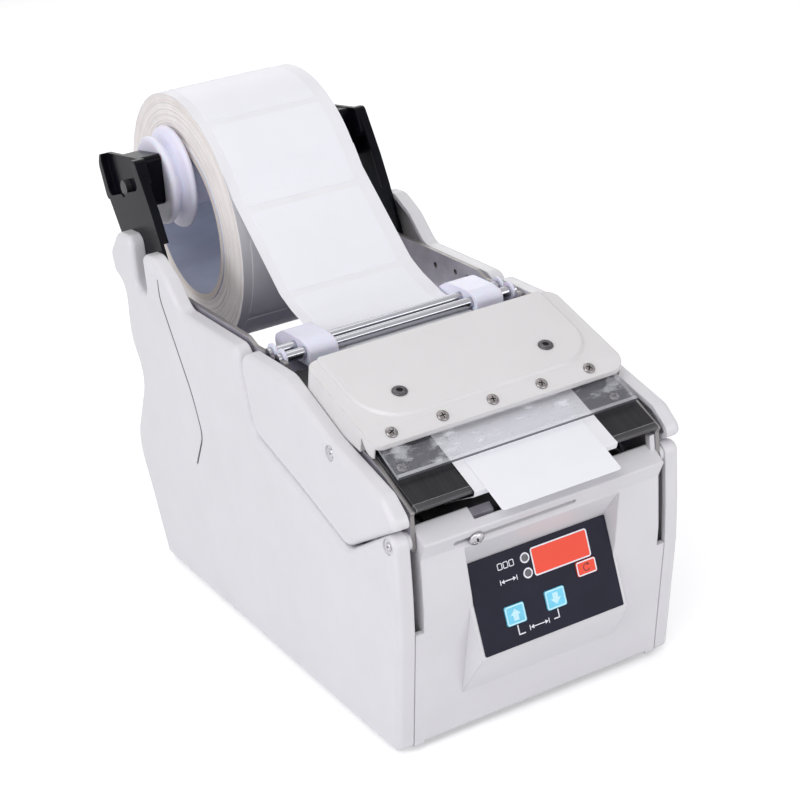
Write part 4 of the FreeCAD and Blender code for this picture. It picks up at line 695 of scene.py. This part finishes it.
def screw_form(radius, height, shank, length, recess, deep):
    """Domed head with a drive recess above z = 0, and a threaded shank below it.

    Gives its vertices, its faces, and which faces lie in the recess, for the painted shade."""
    around, rings = 72, 22
    verts, faces = [(0.0, 0.0, height - deep * recess(0.0, 0.0))], []
    for i in range(1, rings + 1):
        share = i / rings
        for j in range(around):
            angle = math.tau * j / around
            u, v = share * math.cos(angle), share * math.sin(angle)
            dome = height * (1.0 - 0.30 * share ** 2 - 0.35 * share ** 10)
            verts.append((u * radius, v * radius, dome - deep * recess(u, v)))
    levels = [(radius, height * 0.2), (radius * 0.985, 0.0), (shank, 0.0)]
    turns = int((length - 0.6) / THREAD_STEP)
    levels += [(shank * (0.99 if i % 2 == 0 else 0.82), -0.3 - THREAD_STEP * i) for i in range(turns)]
    levels += [(shank * 0.7, -length)]
    for reach, z in levels:
        verts += [(reach * math.cos(math.tau * j / around), reach * math.sin(math.tau * j / around), z)
                  for j in range(around)]
    faces += [(0, 1 + j, 1 + (j + 1) % around) for j in range(around)]
    inside = [recess(0.0, 0.0) > IN_RECESS] * around
    for i in range(rings + len(levels) - 1):
        for j in range(around):
            k = (j + 1) % around
            faces.append((1 + i * around + j, 1 + i * around + k,
                          1 + (i + 1) * around + k, 1 + (i + 1) * around + j))
            share, angle = (i + 1.5) / rings, math.tau * (j + 0.5) / around
            deep_here = recess(share * math.cos(angle), share * math.sin(angle))
            inside.append(i < rings - 1 and deep_here > IN_RECESS)
    verts.append((0.0, 0.0, -length))
    end = 1 + (rings + len(levels) - 1) * around
    faces += [(len(verts) - 1, end + (j + 1) % around, end + j) for j in range(around)]
    return verts, faces, inside + [False] * around


def loose_parts(name):
    """Vertex arrays, in mm, of a node's separate solids."""
    form = bmesh.new()
    form.from_mesh(nodes[name].data)
    bmesh.ops.remove_doubles(form, verts=form.verts, dist=1e-6)
    seen, found = set(), []
    for first in form.verts:
        if first in seen:
            continue
        seen.add(first)
        members, queue = [], [first]
        while queue:
            vert = queue.pop()
            members.append([c / MM for c in vert.co])
            for edge in vert.link_edges:
                other = edge.other_vert(vert)
                if other not in seen:
                    seen.add(other)
                    queue.append(other)
        found.append(np.array(members))
    form.free()
    return found


def seat_of(points, shank):
    """Where a screw's head sits and the way it points, from its vertices."""
    centre = points.mean(axis=0)
    away = points - centre
    _, sizes, axes = np.linalg.svd(away, full_matrices=False)
    # a screw is round, so the axis is the direction whose spread is unlike the other two
    axis = axes[0] if sizes[0] - sizes[1] > sizes[1] - sizes[2] else axes[2]
    along = away @ axis
    side = np.linalg.norm(away - np.outer(along, axis), axis=1)
    wide = along[side > shank * 1.25]
    if wide.mean() < (along.max() + along.min()) / 2:
        axis, along, wide = -axis, -along, -wide
    return Vector(centre + axis * wide.min()), Vector(axis), float(wide.min() - along.min())


def make_screws(node, body, shank, head_radius, height, recess, deep, look, spin=0.0):
    """Detailed screws in the places of a node's solids."""
    shapes, inside = [], []
    for i, points in enumerate(loose_parts(node)):
        seat, axis, length = seat_of(points, shank)
        verts, faces, dark = screw_form(head_radius, height, shank, length, recess, deep)
        inside += dark
        turn = (Vector((0, 0, 1)).rotation_difference(axis).to_matrix()
                @ Matrix.Rotation(spin + 1.3 * i, 3, "Z"))
        shapes.append(([tuple(turn @ Vector(v) + seat) for v in verts], faces))
    made = piece(node + "_detailed", *gather(shapes), look, body, smooth=True)
    # The faces in the recess get the painted shade.
    made.data.materials.append(RECESS_SHADE)
    made.data.polygons.foreach_set("material_index", [int(dark) for dark in inside])
    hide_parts(node)


# ------------------------------------------------------------------ keypad print
KEYPAD_SEAT = (-155.1352, 44.3)
KEYPAD_TILT = math.radians(74.6)
OVERLAY = 0.6
INK = 0.05
KEY_PROUD = 0.5            # keys, over the film
FILM_BOX = (-34.5, 34.5, 0.0, 40.1)
FILM_GAP = 0.25            # round each key and the window
LAMP_HOLE = 1.54
KEYS = {"reset": (15.6, 25.3, 18.3, 24.6), "up": (-21.8, -12.4, 8.9, 17.3), "down": (-1.9, 7.7, 9.3, 17.7)}
WINDOW = (-3.7, 24.0, 25.5, 37.2)
LAMPS = [(-6.9, 34.3), (-6.9, 27.7)]


def on_keypad(x, y, z):
    """A point of the keypad's face, x across, y up it and z out of it, in the frame."""
    return (x, KEYPAD_SEAT[0] + y * math.cos(KEYPAD_TILT) - z * math.sin(KEYPAD_TILT),
            KEYPAD_SEAT[1] + y * math.sin(KEYPAD_TILT) + z * math.cos(KEYPAD_TILT))


def ink(outline, low, hole=None):
    """Thin printed shape from a flat outline, or a band between it and a hole of as many points."""
    count = len(outline)
    loops = [outline] + ([hole] if hole else [])
    verts = [on_keypad(x, y, z) for loop in loops for z in (low + INK, low) for x, y in loop]
    faces = []
    for j in range(count):
        k = (j + 1) % count
        faces.append((j, k, count + k, count + j))
        if hole:
            faces += [(j, k, 2 * count + k, 2 * count + j),
                      (count + j, count + k, 3 * count + k, 3 * count + j),
                      (2 * count + j, 2 * count + k, 3 * count + k, 3 * count + j)]
    if not hole:
        faces += [tuple(range(count)), tuple(range(count, 2 * count))]
    return verts, faces


def rounded_box(x0, x1, y0, y1, radius):
    points = []
    for cx, cy, first in ((x1 - radius, y1 - radius, 0.0), (x0 + radius, y1 - radius, 90.0),
                          (x0 + radius, y0 + radius, 180.0), (x1 - radius, y0 + radius, 270.0)):
        for i in range(9):
            angle = math.radians(first + 90.0 * i / 8)
            points.append((cx + radius * math.cos(angle), cy + radius * math.sin(angle)))
    return points


def frame_line(x0, x1, y0, y1, inner, wide, radius, low):
    """Printed line round a rectangle, starting a little outside it."""
    hole = rounded_box(x0 - inner, x1 + inner, y0 - inner, y1 + inner, radius)
    reach = inner + wide
    return ink(rounded_box(x0 - reach, x1 + reach, y0 - reach, y1 + reach, radius + wide), low, hole)


def ring_mark(x, y, inner, outer, low):
    turns = [math.tau * i / 48 for i in range(48)]
    return ink([(x + outer * math.cos(a), y + outer * math.sin(a)) for a in turns], low,
               [(x + inner * math.cos(a), y + inner * math.sin(a)) for a in turns])


def bar(x0, y0, x1, y1, wide, low):
    """Printed straight line."""
    along = Vector((x1 - x0, y1 - y0)).normalized()
    side = Vector((-along.y, along.x)) * (wide / 2)
    ends = [Vector((x0, y0)) + side, Vector((x0, y0)) - side,
            Vector((x1, y1)) - side, Vector((x1, y1)) + side]
    return ink([(e.x, e.y) for e in ends], low)


def head(x, y, dx, dy, size, low):
    """Printed arrow head with its tip at a point."""
    return ink([(x, y), (x - dx * size - dy * size * 0.6, y - dy * size + dx * size * 0.6),
                (x - dx * size + dy * size * 0.6, y - dy * size - dx * size * 0.6)], low)


def length_mark(x0, x1, y, low):
    """Double-headed arrow between two end bars."""
    return [bar(x0, y - 1.1, x0, y + 1.1, 0.35, low), bar(x1, y - 1.1, x1, y + 1.1, 0.35, low),
            bar(x0 + 1.2, y, x1 - 1.2, y, 0.4, low), head(x0 + 0.35, y, -1, 0, 1.5, low),
            head(x1 - 0.35, y, 1, 0, 1.5, low)]


def counter_mark(x0, y, low):
    """Three counter cells in a row."""
    return [frame_line(x0 + 2.8 * i, x0 + 2.8 * i + 1.7, y - 1.1, y + 1.1, 0.0, 0.35, 0.2, low)
            for i in range(3)]


def arrow_shape(x0, x1, y0, y1, up):
    """Broad arrow filling a key."""
    middle, half = (x0 + x1) / 2, (x1 - x0) / 2
    tip, root = (y1, y0) if up else (y0, y1)
    neck = tip + (root - tip) * 0.52
    return [(middle, tip), (middle + half, neck), (middle + half * 0.5, neck), (middle + half * 0.5, root),
            (middle - half * 0.5, root), (middle - half * 0.5, neck), (middle - half, neck)]


def turning_arrow(x, y, radius, low):
    """Open circle with an arrow head, for reset."""
    wide = 0.42
    turns = [math.radians(60.0 + 270.0 * i / 30) for i in range(31)]
    shapes = []
    for a, b in zip(turns, turns[1:]):
        shapes.append(ink([(x + (radius + wide / 2) * math.cos(a), y + (radius + wide / 2) * math.sin(a)),
                           (x + (radius + wide / 2) * math.cos(b), y + (radius + wide / 2) * math.sin(b)),
                           (x + (radius - wide / 2) * math.cos(b), y + (radius - wide / 2) * math.sin(b)),
                           (x + (radius - wide / 2) * math.cos(a), y + (radius - wide / 2) * math.sin(a))],
                          low))
    tip = turns[0]
    shapes.append(head(x + radius * math.cos(tip) + 0.9, y + radius * math.sin(tip) - 0.5,
                       0.866, -0.5, 1.3, low))
    return shapes


def make_print():
    face = OVERLAY
    white = [frame_line(*WINDOW, -0.35, 0.62, 0.6, face + 0.1)]
    white += [ring_mark(x, y, 1.56, 2.25, face) for x, y in LAMPS]
    white += counter_mark(-20.0, LAMPS[0][1], face)
    white += length_mark(-20.4, -12.4, LAMPS[1][1], face)
    up, down = KEYS["up"], KEYS["down"]
    middle = (up[0] + up[1]) / 2
    white += [bar(middle, up[2] - 0.5, middle, 4.2, 0.5, face),
              bar(middle - 0.25, 4.2, middle + 3.0, 4.2, 0.5, face)]
    middle = (down[0] + down[1]) / 2
    white += [bar(middle, down[2] - 0.5, middle, 5.2, 0.5, face),
              bar(middle + 0.25, 5.2, middle - 2.6, 5.2, 0.5, face)]
    white += length_mark(-11.6, -2.2, 5.4, face)
    made = piece("keypad_print", *gather(white), PRINT, "front_door")
    proud = OVERLAY + KEY_PROUD
    for key, body in (("up", "length_up_button"), ("down", "length_down_button")):
        x0, x1, y0, y1 = KEYS[key]
        edge = frame_line(x0 + 0.75, x1 - 0.75, y0 + 0.75, y1 - 0.75, 0.0, 0.55, 0.5, proud)
        arrow = ink(arrow_shape(x0 + 2.2, x1 - 2.2, y0 + 1.7, y1 - 1.7, key == "up"), proud)
        made = piece("print_" + key, *gather([edge, arrow]), PRINT_PALE, body)
    x0, x1, y0, y1 = KEYS["reset"]
    made = piece("print_reset", *gather(turning_arrow((x0 + x1) / 2, (y0 + y1) / 2, 1.5, proud)), PRINT_DARK,
                 "reset_button")
    made = piece("print_reset_edge", *frame_line(x0, x1, y0, y1, -0.6, 0.55, 0.5, proud), PRINT,
                 "reset_button")


# ------------------------------------------------------------------ film, guard, hubs and groove shades
def make_film():
    """The keypad's film with its real corners and an opening for each key, lamp and the display."""
    loops = [rounded_box(*FILM_BOX, 0.6)]
    loops += [rounded_box(x0 - FILM_GAP, x1 + FILM_GAP, y0 - FILM_GAP, y1 + FILM_GAP, 1.0)
              for x0, x1, y0, y1 in [*KEYS.values(), WINDOW]]
    loops += [[(x + LAMP_HOLE * math.cos(math.tau * i / 36), y + LAMP_HOLE * math.sin(math.tau * i / 36))
               for i in range(36)]
              for x, y in LAMPS]
    flat = [[Vector((x, y, 0.0)) for x, y in loop] for loop in loops]
    points = [point for loop in loops for point in loop]
    count = len(points)
    verts = [on_keypad(x, y, z) for z in (OVERLAY, 0.0) for x, y in points]
    triangles = tessellate_polygon(flat)
    faces = [tuple(t) for t in triangles] + [tuple(count + i for i in t) for t in triangles]
    base = 0
    for loop in loops:
        around = len(loop)
        faces += [(base + i, base + (i + 1) % around, count + base + (i + 1) % around, count + base + i)
                  for i in range(around)]
        base += around
    made = piece("keypad_film", verts, faces, FILM, "front_door")
    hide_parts("membrane_keypad")


GUARD_LINE = [(-99.43, 147.26), (-121.87, 139.80), (-128.00, 135.07, 4.0), (-140.94, 128.30)]
GUARD_THICK = 1.5
GUARD_HALF = 58.0


def make_guard():
    """Bent clear strip under the lid and over the web: its sides and a front band carry a painted highlight,
    its cut ends a painted shade.
    """
    track = Track(rounded(GUARD_LINE))
    verts, faces = patch(track, 0.0, track.length, -GUARD_HALF, GUARD_HALF, 0.0, GUARD_THICK, step=1.5)
    made = piece("guard_sheet", verts, faces, ACRYLIC, "frame")
    made.data.materials.append(ACRYLIC_HIGHLIGHT)
    made.data.materials.append(ACRYLIC_SHADE)
    # The cut ends take the painted shade; the side faces and the top band at the front edge take the painted
    # highlight.
    highlight_band = 4 * (len(verts) // 4 - 2) + 2
    for face in made.data.polygons:
        if face.index < 2:
            face.material_index = 2
        elif abs(face.normal.x) > 0.9 or face.index == highlight_band:
            face.material_index = 1
    made.visible_shadow = False
    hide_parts("clear_guard")


HUB_AXIS = (106.6, 195.0)
HUB_ENDS = {"left": (-45.7, 1.0), "right": (49.7, -1.0)}
HUB_LINE = [(0.0, 4.05), (0.0, 19.4), (0.25, 20.6), (0.9, 21.4), (1.9, 21.7), (3.0, 21.5), (4.0, 20.7),
            (5.6, 18.6), (6.4, 18.1), (7.0, 18.6), (7.9, 21.4), (8.5, 23.7), (9.2, 24.8), (10.3, 25.3),
            (11.3, 25.1), (11.8, 24.5), (12.0, 23.6), (12.0, 15.7), (41.2, 15.7), (42.0, 14.9), (42.0, 4.05)]


def make_hub(side):
    """Turned nylon hub: rounded grip disc and flange with a deep groove between them."""
    around = 120
    start, inward = HUB_ENDS[side]
    line = []
    for (x0, r0), (x1, r1) in zip(HUB_LINE, HUB_LINE[1:]):
        steps = max(1, int(math.hypot(x1 - x0, r1 - r0) / 2.5))
        line += [(x0 + (x1 - x0) * i / steps, r0 + (r1 - r0) * i / steps) for i in range(steps)]
    line.append(HUB_LINE[-1])
    verts = [(start + inward * x, HUB_AXIS[0] + r * math.cos(math.tau * j / around),
              HUB_AXIS[1] + r * math.sin(math.tau * j / around)) for x, r in line for j in range(around)]
    faces = []
    for i in range(len(line)):
        n = (i + 1) % len(line)
        for j in range(around):
            k = (j + 1) % around
            faces.append((i * around + j, i * around + k, n * around + k, n * around + j))
    made = piece(side + "_hub_turned", verts, faces, NYLON, side + "_hub_body", smooth=True)
    made.data.set_sharp_from_angle(angle=math.radians(35.0))
    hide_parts(side + "_hub")


GROOVE = [(57.7, 163.0), (58.2, 153.5, 14), (35.6, 112.0, 60), (29.8, 92.0, 12), (42.4, 73.3)]
COVER_FACE = 70.0
GROOVE_WIDE = 1.2
GROOVE_BED = (0.06, 0.42)  # top and bottom of the bed, under the cover's face


def make_groove_shade(side, sign):
    """Painted shade of the side cover's styling groove: a dark strip in its bed, tapered at both ends."""
    track = Track(rounded(GROOVE))
    verts, faces = [], []
    runs = np.linspace(0.0, track.length, 90)
    for run in runs:
        point, out = track.at(float(run))
        taper = min(1.0, run / 14.0 + 0.15, (track.length - run) / 5.0 + 0.25)
        for across in (-0.5, 0.5):
            spot = point - out * (0.5 * GROOVE_WIDE + across * GROOVE_WIDE * taper)
            for deep in GROOVE_BED:
                verts.append((sign * (COVER_FACE - deep), spot.x, spot.y))
    for i in range(len(runs) - 1):
        a, b = 4 * i, 4 * i + 4
        faces += [(a, a + 2, b + 2, b), (a + 1, a + 3, b + 3, b + 1),
                  (a, a + 1, b + 1, b), (a + 2, a + 3, b + 3, b + 2)]
    last = 4 * (len(runs) - 1)
    faces += [(0, 1, 3, 2), (last, last + 1, last + 3, last + 2)]
    made = piece(side + "_groove_painted_shade", verts, faces, GROOVE_SHADE, "frame")


make_camera()
make_studio()
make_floor()
dress_nodes()
make_web()
make_dispensed_label()
make_roll()
make_screws("pan_head_screws", "frame", 1.3, 2.6, 1.0, cross, 0.75, SCREW, 0.35)
make_screws("cover_hex_screws", "frame", 1.5, 3.4, 1.1, hexagon, 0.9, DARK_SCREW)
make_screws("arm_screws", "frame", 1.5, 3.0, 1.5, cross, 0.9, PLATED_SCREW)
make_screws("side_screws", "frame", 1.5, 2.0, 0.8, cross, 0.6, PLATED_SCREW, 0.5)
make_screws("sensor_knob", "sensor", 0.9, 3.5, 2.2, cross, 1.2, PLATED_SCREW, 0.4)
make_film()
make_print()
make_guard()
make_hub("left")
make_hub("right")
make_groove_shade("left", -1.0)
make_groove_shade("right", 1.0)
